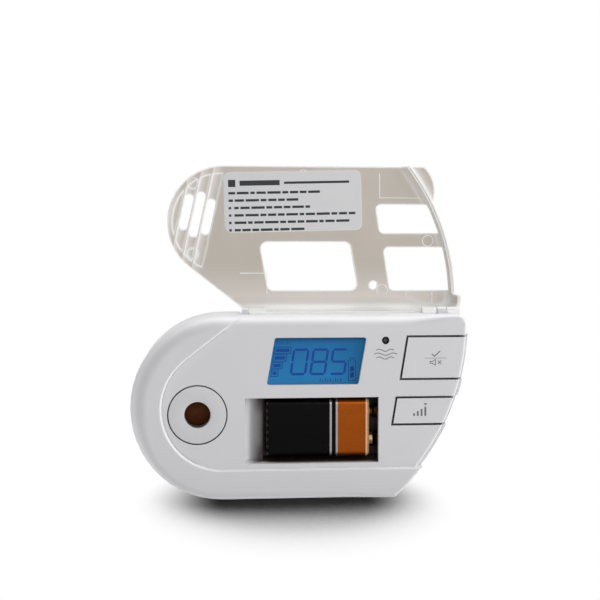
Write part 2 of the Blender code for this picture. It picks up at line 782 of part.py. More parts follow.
def shell_openings():
    past = PANEL_Y - 2 * WALL
    test = button_region(TEST_BUTTON_LEFT, TEST_BUTTON_BOTTOM, TEST_BUTTON_TOP, BUTTON_GAP)
    peak = button_region(PEAK_BUTTON_LEFT, PEAK_BUTTON_BOTTOM, PEAK_BUTTON_TOP, BUTTON_GAP)
    end = PANEL_Y + BUTTON_SKIRT + BUTTON_TRAVEL + FIT_GAP
    inner = PANEL_INNER_Y + WALL / 2
    pin_hole = HINGE_PIN_RADIUS + HINGE_PIN_GAP
    axis = (HINGE_Y, HINGE_Z)
    pieces = [
        prism("display_hole", window_outline(), past, inner),
        rod("lamp_hole", (LAMP_X, LAMP_Z), LAMP_RADIUS + LAMP_HOLE_GAP, past, inner, 20, "Y"),
        rod("horn_hole", (HORN_X, HORN_Z), HORN_CAP_RADIUS + HORN_CAP_GAP, past, inner, 40, "Y"),
        prism("test_hole", test, past, end),
        prism("peak_hole", peak, past, end),
        prism("well_hole", well_profile(0), WELL_BOTTOM, WELL_TOP, "Z"),
        rod("pin_hole_left", axis, pin_hole, LEFT_NUB[0] - WALL, LEFT_NUB[1] + WALL, 16),
        rod("pin_hole_right", axis, pin_hole, RIGHT_NUB[0] - WALL, RIGHT_NUB[1] + WALL, 16),
    ]
    pilot = SCREW_RADIUS + PILOT_GAP
    for i, place in enumerate(case_screw_places()):
        pieces.append(rod(f"case_pilot_{i}", place, pilot, PANEL_INNER_Y + 4 * WALL, SEAM_Y, 12, "Y"))
    for i, place in enumerate(board_screw_places()):
        pieces.append(rod(f"board_pilot_{i}", place, pilot, PANEL_INNER_Y + WALL / 2, BOARD_Y, 12, "Y"))
    return joined("shell_openings", pieces)


def rear_cover():
    cover = rear_rim()
    cut(cover, prism("rear_panel_cut", panel_outline(), SEAM_Y - WALL, WALL))
    side = SIDE_RECESS - HIDDEN_STEP
    add(cover, flat_body("rear_panel", -HIDDEN_STEP, SEAM_Y, 0, REAR_CHAMFER, side))
    cut(cover, flat_body("rear_hollow", -WALL, SEAM_Y - WALL, -WALL))
    add(cover, rear_lip())
    add(cover, rear_inner_parts())
    cut(cover, stop_recess("rear_stop_recess"))
    cut(cover, rear_openings())
    return dress(cover, white_plastic())


def rear_rim():
    """The back half's outline with the same proud rim and foot as the front."""
    outline = case_outline(0, SIDE_RECESS)
    rings = [(0, SEAM_Y), (0, -REAR_CHAMFER), (REAR_CHAMFER, 0)]
    return loft("rear_cover", [outline_ring(outline, inset, depth) for inset, depth in rings])


def rear_lip():
    """The tongue that slides inside the front shell's wall. It stops at the hinge bar."""
    lip = flat_body("rear_lip", -WALL - FIT_GAP, SEAM_Y - LIP_HEIGHT, SEAM_Y + LIP_HEIGHT - HIDDEN_STEP)
    add(lip, flat_body("lip_root", -WALL / 2, SEAM_Y + FIT_GAP, SEAM_Y + LIP_HEIGHT))
    inset = WALL + FIT_GAP + LIP_WALL
    cut(lip, flat_body("lip_hollow", -inset, SEAM_Y - 2 * LIP_HEIGHT, SEAM_Y + 2 * LIP_HEIGHT))
    low = (LEFT_NUB[0] - 2 * WALL, SEAM_Y - FAR, HINGE_BAR_BOTTOM - FIT_GAP)
    cut(lip, block("lip_gap", low, (FAR, SEAM_Y, FAR)))
    reach = BOSS_RADIUS + FIT_GAP
    notches = [rod(f"lip_notch_{i}", place, reach, SEAM_Y - FAR, SEAM_Y, 16, "Y")
               for i, place in enumerate(case_screw_places())]
    cut(lip, joined("lip_notches", notches))
    return lip


def rear_inner_parts():
    pieces = []
    for i, place in enumerate(case_screw_places()):
        pieces.append(rod(f"rear_boss_{i}", place, BOSS_RADIUS, SEAM_Y, -WALL / 2, 16, "Y"))
        pieces.append(rod(f"rear_collar_{i}", place, BOSS_RADIUS + 1 * MM, SEAM_Y / 2, -WALL / 3, 16, "Y"))
    bar = hinge_bar("rear_hinge_bar", SEAM_Y + HIDDEN_STEP, -WALL / 2)
    socket = rod("inlet_collar", inlet_place(), inlet_collar(), SEAM_Y / 2, -WALL / 2, 24, "Y")
    whole = pieces[0]
    whole.name = "rear_inner_parts"
    for piece in pieces[1:] + [bar, socket]:
        add(whole, piece)
    return whole


def keyhole(name, x, z):
    """A hanging slot: a round entry below a narrow slot with a round end."""
    half = math.asin(KEYHOLE_SLOT_RADIUS / KEYHOLE_HEAD_RADIUS)
    head = arc((x, z), KEYHOLE_HEAD_RADIUS, math.pi / 2 + half, 2.5 * math.pi - half, 16)
    slot = arc((x, z + KEYHOLE_RISE), KEYHOLE_SLOT_RADIUS, 0, math.pi, 8)
    return prism(name, head + slot, -2 * WALL, WALL)


def rear_openings():
    pieces = [keyhole(f"keyhole_{i}", KEYHOLE_MIDDLE_X + side * KEYHOLE_SPACING / 2, KEYHOLE_Z)
              for i, side in enumerate((-1, 1))]
    pilot = SCREW_RADIUS + PILOT_GAP
    for i, place in enumerate(case_screw_places()):
        pieces.append(rod(f"rear_pilot_{i}", place, pilot, SEAM_Y - 3 * WALL, WALL, 12, "Y"))
    for i in range(VENT_COUNT):
        x = VENT_START_X + i * VENT_PITCH
        outline = slot_outline((x, VENT_Z), VENT_LENGTH, VENT_WIDTH)
        pieces.append(prism(f"vent_{i}", outline, -2 * WALL, WALL))
    pieces.append(rod("inlet_hole", inlet_place(), INLET_RADIUS + FIT_GAP, SEAM_Y, WALL, 24, "Y"))
    whole = pieces[0]
    for piece in pieces[1:]:
        add(whole, piece)
    for i, place in enumerate(case_screw_places()):
        head = SCREW_HEAD_RADIUS + PILOT_GAP
        add(whole, rod(f"head_pocket_{i}", place, head, HEAD_FLOOR_Y, WALL, 20, "Y"))
    return whole


def slot_outline(centre, length, width, lean=0, steps=6):
    """A slot with round ends, standing along Z and turned by the lean angle."""
    half = (length - width) / 2
    axis = Vector((math.sin(lean), math.cos(lean)))
    turn = -lean
    top = Vector(centre) + axis * half
    bottom = Vector(centre) - axis * half
    upper = arc(top, width / 2, turn, turn + math.pi, steps)
    return upper + arc(bottom, width / 2, turn + math.pi, turn + 2 * math.pi, steps)


# ---------------------------------------------------------------- cover and hinge

def cover():
    """The clip-over cover, modelled shut, with its windows, sound slots and hinge knuckles."""
    back = COVER_BACK_Y
    lid = case_body("cover", SIDE_RECESS, SIDE_RECESS, FRONT_Y, back)
    keep_inside(lid, prism("cover_region", panel_outline(FIT_GAP, COVER_SWING_ROOM), FRONT_Y - WALL, 0))
    cut(lid, case_body("cover_hollow", COVER_SIDE_GAP, COVER_SIDE_GAP, FRONT_Y + COVER_THICKNESS, 0))
    cut(lid, prism("skirt_trim", skirt_trim(), END_RADIUS, FAR, "X"))
    add(lid, finger_tab())
    add(lid, cover_knuckles(back))
    cut(lid, cover_openings())
    cut(lid, sound_grooves())
    return dress(lid, translucent_plastic())


def skirt_trim():
    """What is cut from the cover's side wall, seen along X: it leaves a shallow skirt and the upper ear."""
    edge = FRONT_Y + COVER_SKIRT
    high = END_RADIUS - UPPER_EAR_LENGTH
    bottom = -2 * END_RADIUS
    return rounded([(0, high), (edge, high), (edge, bottom), (0, bottom)], SKIRT_CORNER)


def finger_tab():
    """The round tab that stands out past the bowed side at the cover's lower corner."""
    bottom = PANEL_BOTTOM_Z + FIT_GAP
    middle = bottom + FINGER_TAB_RISE
    front = FRONT_Y + FINGER_TAB_SETBACK
    centre = (side_x(middle) - FINGER_TAB_INSET, middle)
    disc = rod("finger_tab", centre, FINGER_TAB_RADIUS, front, front + COVER_THICKNESS, 48, "Y")
    radius = SIDE_RADIUS + SIDE_RECESS - COVER_THICKNESS / 2
    top = middle + FINGER_TAB_RADIUS
    angles = [math.asin((z - SIDE_CENTRE_Z) / radius) for z in (bottom, top)]
    side = arc((SIDE_CENTRE_X, SIDE_CENTRE_Z), radius, angles[0], angles[1], 12)
    keep_inside(disc, prism("finger_tab_region", [(FAR, bottom)] + side + [(FAR, top)], front - WALL, 0))
    return disc


def cover_knuckles(back):
    """The cover's hinge tabs: a round knuckle on the pin and a web to the top wall."""
    whole = None
    for i, (near, far) in enumerate(tab_spans()):
        knuckle = rod(f"knuckle_{i}", (HINGE_Y, HINGE_Z), KNUCKLE_RADIUS, near, far)
        inner_z = END_RADIUS + COVER_SIDE_GAP
        web = block(f"web_{i}", (near, back - WALL, inner_z), (far, HINGE_Y, COVER_TOP_Z - HIDDEN_STEP))
        add(knuckle, web)
        if whole:
            add(whole, knuckle)
        else:
            whole = knuckle
    return whole


def side_window(left, bottom, top):
    """A cover window that reaches the side wall, which bows past it as a thin hoop."""
    region = button_region(left - WINDOW_LEFT_EXTRA, bottom, top, COVER_WINDOW_GROW)
    radius = SIDE_RADIUS - FIT_GAP
    angles = [math.asin((z - SIDE_CENTRE_Z) / radius) for z in (region[1][1], region[2][1])]
    eased = rounded(region, SIDE_WINDOW_CORNER)
    corner = len(eased) // len(region)
    hoop = arc((SIDE_CENTRE_X, SIDE_CENTRE_Z), radius, angles[0], angles[1], 6)
    return eased[:corner] + hoop + eased[-corner:]


def sound_slot(i, length, width):
    """The outline of leaning slot i in front of the horn, or of the groove that it lies in."""
    centre = (HORN_X + (i - 1) * SLOT_PITCH, HORN_Z + (i - 2) * SLOT_STEP)
    return slot_outline(centre, length, width, -SLOT_LEAN)


def sound_grooves():
    """Shallow bands in the inner face: one for each slot and one beside them, kept to the round end."""
    width = SLOT_PITCH * math.cos(SLOT_LEAN) - GROOVE_RIDGE
    near = FRONT_Y + COVER_THICKNESS - GROOVE_DEPTH
    bands = [sound_slot(i, 3 * PANEL_RADIUS, width) for i in range(-1, 3)]
    grooves = joined("grooves", [prism(f"groove_{i}", band, near, PANEL_Y) for i, band in enumerate(bands)])
    centre = (END_CENTRE_X, -PANEL_DROP)
    keep_inside(grooves, rod("groove_region", centre, PANEL_RADIUS - GROOVE_MARGIN, FRONT_Y, 0, 36, "Y"))
    return grooves


def cover_openings():
    past = FRONT_Y - WALL
    inner = PANEL_Y
    test = side_window(TEST_BUTTON_LEFT, TEST_BUTTON_BOTTOM, TEST_BUTTON_TOP)
    peak = side_window(PEAK_BUTTON_LEFT, PEAK_BUTTON_BOTTOM, PEAK_BUTTON_TOP)
    pieces = [
        prism("cover_display_window", window_outline(COVER_WINDOW_GROW, COVER_WINDOW_CORNER), past, inner),
        prism("cover_test_window", test, past, inner),
        prism("cover_peak_window", peak, past, inner),
        rod("cover_lamp_hole", (LAMP_X, LAMP_Z), LAMP_RADIUS + COVER_SIDE_GAP, past, inner, 20, "Y"),
    ]
    for i in range(3):
        length = SLOT_LENGTH + (SLOT_MIDDLE_EXTRA if i == 1 else 0)
        pieces.append(prism(f"sound_slot_{i}", sound_slot(i, length, SLOT_WIDTH), past, inner))
    hole = HINGE_PIN_RADIUS + HINGE_PIN_GAP
    pieces.append(rod("cover_pin_hole", (HINGE_Y, HINGE_Z), hole, LEFT_NUB[0], FAR, 16))
    return joined("cover_openings", pieces)


def cover_label():
    """The blank paper label stuck inside the cover."""
    half_x = LABEL_WIDTH / 2
    half_z = LABEL_HEIGHT / 2
    turn = Matrix.Rotation(LABEL_TILT, 2)
    middle = Vector((LABEL_X, PANEL_BOTTOM_Z + LABEL_RISE))
    signs = ((-1, -1), (1, -1), (1, 1), (-1, 1))
    corners = [middle + turn @ Vector((x * half_x, z * half_z)) for x, z in signs]
    near = FRONT_Y + COVER_THICKNESS + LABEL_GAP
    label = prism("cover_label", rounded(corners, LABEL_CORNER), near, near + LABEL_THICKNESS)
    return dress(label, material("label_paper", "E4E4E4", 0.6))


def hinge_pin(name, near, far):
    pin = rod(name, (HINGE_Y, HINGE_Z), HINGE_PIN_RADIUS, near, far, 16)
    return dress(pin, steel())


# ---------------------------------------------------------------- display and lamp

def glass_rectangle(grow=0):
    low_left = WINDOW_LEFT_TOP - WINDOW_LEAN
    edge = GLASS_MARGIN + grow
    return (low_left - edge, WINDOW_BOTTOM - edge, WINDOW_RIGHT_TOP + edge, WINDOW_TOP + edge)


def lcd_glass():
    left, bottom, right, top = glass_rectangle()
    near = PANEL_INNER_Y + FIT_GAP
    made = block("lcd_glass", (left, near, bottom), (right, near + GLASS_THICKNESS, top))
    return dress(made, material("lcd_blue", "257AAA", 0.2))


def lcd_backlight():
    left, bottom, right, top = glass_rectangle()
    rim = CONTACT_STRIP_WIDTH + FIT_GAP
    near = PANEL_INNER_Y + GLASS_THICKNESS + 2 * FIT_GAP
    made = block("lcd_backlight", (left, near, bottom + rim), (right, BOARD_Y - FIT_GAP, top - rim))
    return dress(made, material("light_guide", "E8EEF4", 0.3))


def lcd_contact_strips():
    """The two rubber strips that join the glass's edges to the board."""
    left, bottom, right, top = glass_rectangle()
    near = PANEL_INNER_Y + GLASS_THICKNESS + 2 * FIT_GAP
    for name, z in (("lcd_contact_low", bottom), ("lcd_contact_high", top - CONTACT_STRIP_WIDTH)):
        strip = block(name, (left, near, z), (right, BOARD_Y - FIT_GAP, z + CONTACT_STRIP_WIDTH))
        dress(strip, material("elastomer", "8C8F94", 0.6))


def lcd_holder():
    """The frame that clamps glass, light guide and strips to the board."""
    left, bottom, right, top = glass_rectangle(FIT_GAP + HOLDER_WALL)
    near = PANEL_INNER_Y + FIT_GAP
    made = block("lcd_holder", (left, near, bottom), (right, BOARD_Y - FIT_GAP, top))
    left, bottom, right, top = glass_rectangle(FIT_GAP)
    cut(made, block("holder_hole", (left, near - WALL, bottom), (right, BOARD_Y + WALL, top)))
    return dress(made, white_plastic())


def status_lamp():
    """A 3 mm lamp: dome, body and flange."""
    tip = PANEL_Y + LAMP_SINK
    flange = PANEL_INNER_Y + WALL
    r = LAMP_RADIUS
    profile = [(0, tip), (0.6 * r, tip + 0.2 * r), (0.9 * r, tip + 0.55 * r), (r, tip + r),
               (r, flange), (1.2 * r, flange), (1.2 * r, flange + LAMP_FLANGE), (0, flange + LAMP_FLANGE)]
    made = turned("status_led", (LAMP_X, LAMP_Z), profile, 20, closed=False)
    return dress(made, material("lamp_lens", "2A1512", 0.15))


def lamp_spacer():
    near = PANEL_INNER_Y + WALL + LAMP_FLANGE + FIT_GAP
    far = BOARD_Y - FIT_GAP
    inner = 0.6 * LAMP_RADIUS
    outer = 1.5 * LAMP_RADIUS
    profile = [(inner, near), (outer, near), (outer, far), (inner, far)]
    made = turned("led_spacer", (LAMP_X, LAMP_Z), profile, 20)
    return dress(made, black_plastic())


# ---------------------------------------------------------------- buttons

def switch_place(left, bottom, top):
    """The middle of a button, where its stem and switch stand."""
    z = (bottom + top) / 2
    return ((left - BUTTON_LEAN * (top - z) + side_x(z)) / 2, z)


def button(name, left, bottom, top):
    """A key cap that follows the panel's face and the rounded side, with a skirt, a lip and a stem."""
    back = PANEL_Y + BUTTON_SKIRT
    cap = case_body(name, -HIDDEN_STEP, 0, PANEL_Y, back)
    keep_inside(cap, prism(f"{name}_region", button_region(left, bottom, top), FRONT_Y, 0))
    lip_y = PANEL_INNER_Y + FIT_GAP
    lip = flat_body(f"{name}_lip", -WALL - FIT_GAP - BUTTON_LIP, lip_y, lip_y + BUTTON_LIP)
    region = button_region(left, bottom, top, BUTTON_GAP + BUTTON_LIP)
    keep_inside(lip, prism(f"{name}_lip_region", region, FRONT_Y, 0))
    add(cap, lip)
    hollow = case_body(f"{name}_hollow", -BUTTON_WALL, -BUTTON_WALL, PANEL_Y + BUTTON_WALL, back + WALL)
    keep_inside(hollow, prism(f"{name}_core", button_region(left, bottom, top, -BUTTON_WALL), FRONT_Y, 0))
    cut(cap, hollow)
    stem_end = SWITCH_TIP_Y - BUTTON_TRAVEL - PRESS_GAP
    place = switch_place(left, bottom, top)
    add(cap, rod(f"{name}_stem", place, STEM_RADIUS, PANEL_Y + BUTTON_WALL / 2, stem_end, 16, "Y"))
    return dress(cap, button_plastic())


def tact_switch(name, place):
    """A square tactile switch with its round plunger."""
    x, z = place
    half = SWITCH_SIZE / 2
    back = BOARD_Y - FIT_GAP
    made = block(name, (x - half, back - SWITCH_HEIGHT, z - half), (x + half, back, z + half))
    root = back - SWITCH_HEIGHT / 2
    add(made, rod(f"{name}_plunger", place, 0.3 * SWITCH_SIZE, SWITCH_TIP_Y, root, 16, "Y"))
    return dress(made, black_plastic())


# ---------------------------------------------------------------- horn

def horn_cap():
    """The round sound port: a flush disc, its flange behind the panel and a short neck."""
    face = PANEL_Y
    flange = PANEL_INNER_Y + FIT_GAP
    rim = HORN_CAP_RADIUS
    wide = rim + HORN_FLANGE
    neck = HORN_HOLE_RADIUS + HORN_NECK_WALL
    end = face + HORN_DEPTH / 2
    back = flange + HORN_FLANGE_THICKNESS
    profile = [(HORN_HOLE_RADIUS, face + HORN_EASE), (HORN_HOLE_RADIUS + HORN_EASE, face),
               (rim - HORN_EASE, face), (rim, face + HORN_EASE), (rim, flange), (wide, flange),
               (wide, back), (neck, back), (neck, end), (HORN_HOLE_RADIUS, end)]
    return dress(turned("horn_cap", (HORN_X, HORN_Z), profile), white_plastic())


def horn_chamber():
    """The cup behind the port, with the ledge that the sounder disc sits on."""
    front = PANEL_INNER_Y + 2 * FIT_GAP + HORN_FLANGE_THICKNESS
    ledge = PANEL_Y + HORN_DEPTH + PIEZO_THICKNESS + FIT_GAP
    outer = HORN_CAP_RADIUS + HORN_FLANGE
    bore = outer - LIP_WALL
    floor = ledge + HORN_FLANGE_THICKNESS
    step = bore - HORN_FLANGE
    profile = [(0, floor + WALL), (outer, floor + WALL), (outer, front), (bore, front),
               (bore, ledge), (step, ledge), (step, floor), (0, floor)]
    return dress(turned("horn_chamber", (HORN_X, HORN_Z), profile, closed=False), black_plastic())


def horn_bore():
    return HORN_CAP_RADIUS + HORN_FLANGE - LIP_WALL - FIT_GAP


def horn_spacer():
    """The ring that clamps the sounder disc against its ledge."""
    front = PANEL_INNER_Y + 2 * FIT_GAP + HORN_FLANGE_THICKNESS
    back = PANEL_Y + HORN_DEPTH - FIT_GAP
    outer = horn_bore()
    inner = outer - LIP_WALL
    ring_profile = [(inner, front), (outer, front), (outer, back), (inner, back)]
    return dress(turned("horn_spacer", (HORN_X, HORN_Z), ring_profile), black_plastic())


def piezo_disc():
    near = PANEL_Y + HORN_DEPTH
    made = rod("piezo_disc", (HORN_X, HORN_Z), horn_bore(), near, near + PIEZO_THICKNESS, 32, "Y")
    return dress(made, brass())


def piezo_ceramic():
    near = PANEL_Y + HORN_DEPTH + PIEZO_THICKNESS + FIT_GAP
    made = rod("piezo_ceramic", (HORN_X, HORN_Z), 0.7 * horn_bore(), near, near + PIEZO_THICKNESS, 28, "Y")
    return dress(made, material("ceramic", "E6E2D8", 0.5))


# ---------------------------------------------------------------- battery

def battery_section(inset):
    """The battery's rounded cross-section, as (y, z)."""
    low_y = BATTERY_Y + inset
    high_y = BATTERY_Y + BATTERY_THICKNESS - inset
    low_z = BATTERY_BOTTOM + inset
    high_z = BATTERY_BOTTOM + BATTERY_WIDTH - inset
    corners = [(low_y, low_z), (high_y, low_z), (high_y, high_z), (low_y, high_z)]
    return rounded(corners, max(BATTERY_EDGE_RADIUS - inset, FIT_GAP), 5)


def battery_case():
    """The metal jacket, crimped over at both ends and open for the end plates."""
    place = placer("X")
    stations = [(0, BATTERY_CRIMP), (BATTERY_CRIMP, 0),
                (BATTERY_LENGTH - BATTERY_CRIMP, 0), (BATTERY_LENGTH, BATTERY_CRIMP)]
    rings = [[place(point, BATTERY_LEFT + x) for point in battery_section(inset)] for x, inset in stations]
    made = loft("battery_case", rings)
    mouth = battery_section(BATTERY_PLATE_INSET - FIT_GAP)
    cut(made, prism("battery_left_mouth", mouth, BATTERY_LEFT - WALL, BATTERY_LEFT + BATTERY_CRIMP, "X"))
    cut(made, prism("battery_right_mouth", mouth, BATTERY_RIGHT - BATTERY_CRIMP, BATTERY_RIGHT + WALL, "X"))
    return dress(made, material("battery_jacket", "161416", 0.25, 0.6))


def battery_plate(name, inner_x, outward):
    """An end plate that lies in the crimped mouth."""
    near = inner_x + outward * FIT_GAP
    far = inner_x + outward * BATTERY_CRIMP
    made = prism(name, battery_section(BATTERY_PLATE_INSET), min(near, far), max(near, far), "X")
    return dress(made, black_plastic())


def battery_stud():
    """The round snap stud, which is the positive terminal."""
    base = BATTERY_RIGHT + FIT_GAP
    tip = BATTERY_RIGHT + TERMINAL_HEIGHT
    r = STUD_RADIUS
    profile = [(0, base), (1.3 * r, base), (1.3 * r, base + STUD_FLANGE), (0.85 * r, base + STUD_FLANGE),
               (r, tip - STUD_FLANGE), (0.9 * r, tip), (0, tip)]
    centre = (BATTERY_MID_Y, BATTERY_MID_Z + TERMINAL_SPACING / 2)
    return dress(turned("battery_positive_terminal", centre, profile, 20, False, "X"), steel())


def battery_socket():
    """The six-sided snap socket, which is the negative terminal."""
    base = BATTERY_RIGHT + FIT_GAP
    tip = BATTERY_RIGHT + TERMINAL_HEIGHT
    floor = base + STUD_FLANGE
    bore = STUD_RADIUS + FIT_GAP
    outer = bore + STUD_FLANGE
    profile = [(0, base), (outer + STUD_FLANGE, base), (outer + STUD_FLANGE, floor), (outer, floor),
               (outer + 0.3 * STUD_FLANGE, tip), (bore + 0.3 * STUD_FLANGE, tip), (bore, floor), (0, floor)]
    centre = (BATTERY_MID_Y, BATTERY_MID_Z - TERMINAL_SPACING / 2)
    return dress(turned("battery_negative_terminal", centre, profile, 12, False, "X"), steel())


def battery_contact(name, side):
    """A bowed leaf spring on the well's right wall, facing one terminal."""
    reach = BATTERY_RIGHT + TERMINAL_HEIGHT + CONTACT_GAP
    wall = WELL_RIGHT + CONTACT_POCKET - FIT_GAP
    bow = wall - reach
    half = CONTACT_LENGTH / 2
    radius = (half * half + bow * bow) / (2 * bow)
    spread = math.asin(half / radius)
    centre = (reach + radius, BATTERY_MID_Y)
    outer = arc(centre, radius, math.pi - spread, math.pi + spread, 10)
    inner = arc(centre, radius - CONTACT_STRIP, math.pi + spread, math.pi - spread, 10)
    middle = BATTERY_MID_Z + side * TERMINAL_SPACING / 2
    made = prism(name, outer + inner, middle - CONTACT_WIDTH / 2, middle + CONTACT_WIDTH / 2, "Z")
    return dress(made, brass())


# ---------------------------------------------------------------- board and its parts

def circuit_board():
    """The board is U-shaped: it goes round the battery well and follows the bowed side."""
    edge = WALL + BOARD_EDGE
    high = END_RADIUS - edge
    low = -high
    radius = SIDE_RADIUS - edge
    well_high = WELL_TOP + WELL_WALL + FIT_GAP
    well_low = WELL_BOTTOM - WELL_WALL - FIT_GAP
    well_right = WELL_OUTER_RIGHT + FIT_GAP
    notch_z = case_screw_places()[2][1] - BOSS_RADIUS - BOARD_EDGE
    notch_x = case_screw_places()[2][0] - BOSS_RADIUS - BOARD_EDGE
    low_angle = math.asin((low - SIDE_CENTRE_Z) / radius)
    high_angle = math.asin((notch_z - SIDE_CENTRE_Z) / radius)
    side = arc((SIDE_CENTRE_X, SIDE_CENTRE_Z), radius, low_angle, high_angle, 10)
    outline = [(BOARD_LEFT, low)] + side + [(notch_x, notch_z), (notch_x, high), (BOARD_LEFT, high)]
    outline += [(BOARD_LEFT, well_high), (well_right, well_high)]
    outline += [(well_right, well_low), (BOARD_LEFT, well_low)]
    made = prism("circuit_board", outline, BOARD_Y, BOARD_BACK_Y)
    span = (BOARD_Y - WALL, BOARD_BACK_Y + WALL)
    holes = [rod(f"board_hole_{i}", place, SCREW_RADIUS + PILOT_GAP, *span, 12, "Y")
             for i, place in enumerate(board_screw_places())]
    notch = BOSS_RADIUS + 2 * FIT_GAP
    holes.append(rod("boss_notch", case_screw_places()[3], notch, *span, 20, "Y"))
    cut(made, joined("board_holes", holes))
    return dress(made, material("board_green", "1F6B3A", 0.5))


def can(name, place, radius, height, finish, cap=0.0):
    """A round component that stands on the back of the board, with a stepped or plain top."""
    near = BOARD_BACK_Y + FIT_GAP
    far = near + height
    profile = [(0, near), (radius, near), (radius, far - cap)]
    if cap:
        profile += [(radius - cap, far)]
    profile += [(0, far)] if cap else [(radius, far), (0, far)]
    unique = list(dict.fromkeys(profile))
    return dress(turned(name, place, unique, 24, False), finish)


def chip(name, place, width, height, depth, finish):
    near = BOARD_BACK_Y + FIT_GAP
    x, z = place
    low = (x - width / 2, near, z - height / 2)
    return dress(block(name, low, (x + width / 2, near + depth, z + height / 2)), finish)


def capacitors():
    for i in range(2):
        place = (CAPACITOR_X + i * 2.5 * CAPACITOR_RADIUS, UPPER_ROW_Z)
        finish = material("capacitor_sleeve", "24303F", 0.4)
        can(f"capacitor_{i + 1}", place, CAPACITOR_RADIUS, CAPACITOR_HEIGHT, finish, 0.6 * MM)


def inlet_collar():
    return INLET_RADIUS + FIT_GAP + LIP_WALL


def inlet_place():
    return (side_x(INLET_Z, 2 * WALL + inlet_collar()), INLET_Z)


def power_inlet():
    """The round socket for the supply lead, set in the back."""
    mouth = -WALL / 2
    back = SEAM_Y
    bore = 0.66 * INLET_RADIUS
    pin = 0.2 * INLET_RADIUS
    floor = back + INLET_FLOOR
    profile = [(0, back), (INLET_RADIUS, back), (INLET_RADIUS, mouth), (bore, mouth), (bore, floor),
               (pin, floor), (pin, mouth - WALL), (0, mouth - WALL)]
    return dress(turned("power_inlet", inlet_place(), profile, 24, False), black_plastic())


def screws(name, places, head_y, shaft_end):
    """Pan-head screws driven from behind. They share one mesh."""
    r = SCREW_RADIUS
    head = SCREW_HEAD_RADIUS
    top = SCREW_HEAD_HEIGHT
    end = shaft_end - head_y
    profile = [(0, top), (0.7 * head, top), (head, top / 2), (head, 0), (r, 0), (r, end + r), (0, end)]
    first = dress(turned(f"{name}_1", (0, 0), profile, 12, closed=False), steel())
    first.location = (places[0][0], head_y, places[0][1])
    for i, (x, z) in enumerate(places[1:], 2):
        copy = bpy.data.objects.new(f"{name}_{i}", first.data)
        bpy.context.collection.objects.link(copy)
        copy.location = (x, head_y, z)


# ---------------------------------------------------------------- assembly

def swing_open(pieces):
    """Hang the cover's pieces on an empty at the hinge axis and swing it up by half a turn."""
    axis = bpy.data.objects.new("cover_hinge_axis", None)
    bpy.context.collection.objects.link(axis)
    axis.location = (0, HINGE_Y, HINGE_Z)
    bpy.context.view_layer.update()
    for piece in pieces:
        piece.parent = axis
        piece.matrix_parent_inverse = axis.matrix_world.inverted()
    axis.rotation_euler.x = -math.pi


def build():
    clear_scene()
    front_shell()
    rear_cover()
    before = set(bpy.data.objects)
    cover()
    cover_label()
    swing_open([item for item in bpy.data.objects if item not in before])
    left_tab, right_tab, end_tab = tab_spans()
    hinge_pin("hinge_pin_left", LEFT_NUB[0] + FIT_GAP, left_tab[1] - FIT_GAP)
    hinge_pin("hinge_pin_right", right_tab[0] + FIT_GAP, end_tab[1] - FIT_GAP)
    lcd_glass()
    lcd_backlight()
    lcd_contact_strips()
    lcd_holder()
    status_lamp()
    lamp_spacer()
    for name, left, bottom, top in (
        ("test", TEST_BUTTON_LEFT, TEST_BUTTON_BOTTOM, TEST_BUTTON_TOP),
        ("peak", PEAK_BUTTON_LEFT, PEAK_BUTTON_BOTTOM, PEAK_BUTTON_TOP),
    ):
        button(f"{name}_button", left, bottom, top)
        tact_switch(f"{name}_switch", switch_place(left, bottom, top))
    horn_cap()
    horn_chamber()
    horn_spacer()
    piezo_disc()
    piezo_ceramic()
    battery_case()
    battery_plate("battery_base_plate", BATTERY_LEFT + BATTERY_CRIMP, -1)
    battery_plate("battery_terminal_plate", BATTERY_RIGHT - BATTERY_CRIMP, 1)
    battery_stud()
    battery_socket()
    battery_contact("battery_contact_positive", 1)
    battery_contact("battery_contact_negative", -1)
    circuit_board()
    place = (column_middle(CO_SENSOR_Z), CO_SENSOR_Z)
    can("co_sensor", place, CO_SENSOR_RADIUS, CO_SENSOR_HEIGHT, steel(), SENSOR_STEP)
    place = (GAS_SENSOR_X, UPPER_ROW_Z)
    can("gas_sensor", place, GAS_SENSOR_RADIUS, GAS_SENSOR_HEIGHT, steel(), SENSOR_STEP)
    capacitors()
    chip("microcontroller", (CHIP_X, UPPER_ROW_Z), CHIP_SIZE, CHIP_SIZE, CHIP_HEIGHT, black_plastic())
    chip("power_module", (POWER_MODULE_X, LOWER_ROW_Z), POWER_MODULE_WIDTH, POWER_MODULE_HEIGHT,
         POWER_MODULE_DEPTH, material("module_blue", "2E4E7E", 0.5))
    power_inlet()
    screws("case_screw", case_screw_places(), HEAD_FLOOR_Y + FIT_GAP, SEAM_Y - CASE_SCREW_REACH)
    screws("board_screw", board_screw_places(), BOARD_BACK_Y + FIT_GAP, BOARD_Y - BOARD_SCREW_REACH)


build()
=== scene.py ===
"""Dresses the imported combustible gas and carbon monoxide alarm: finishes, fine pieces, studio and camera.

The alarm stands upright with its clip-over cover swung fully open. Sizes are in metres, except in the
tables of capital names, which lay out prints and fine marks in millimetres. Every place is worked out
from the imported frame's node boxes.
"""

import logging
import math
from dataclasses import dataclass, replace
from enum import Enum
from typing import Any, Iterable, Sequence

import bmesh
import bpy
from mathutils import Matrix, Vector


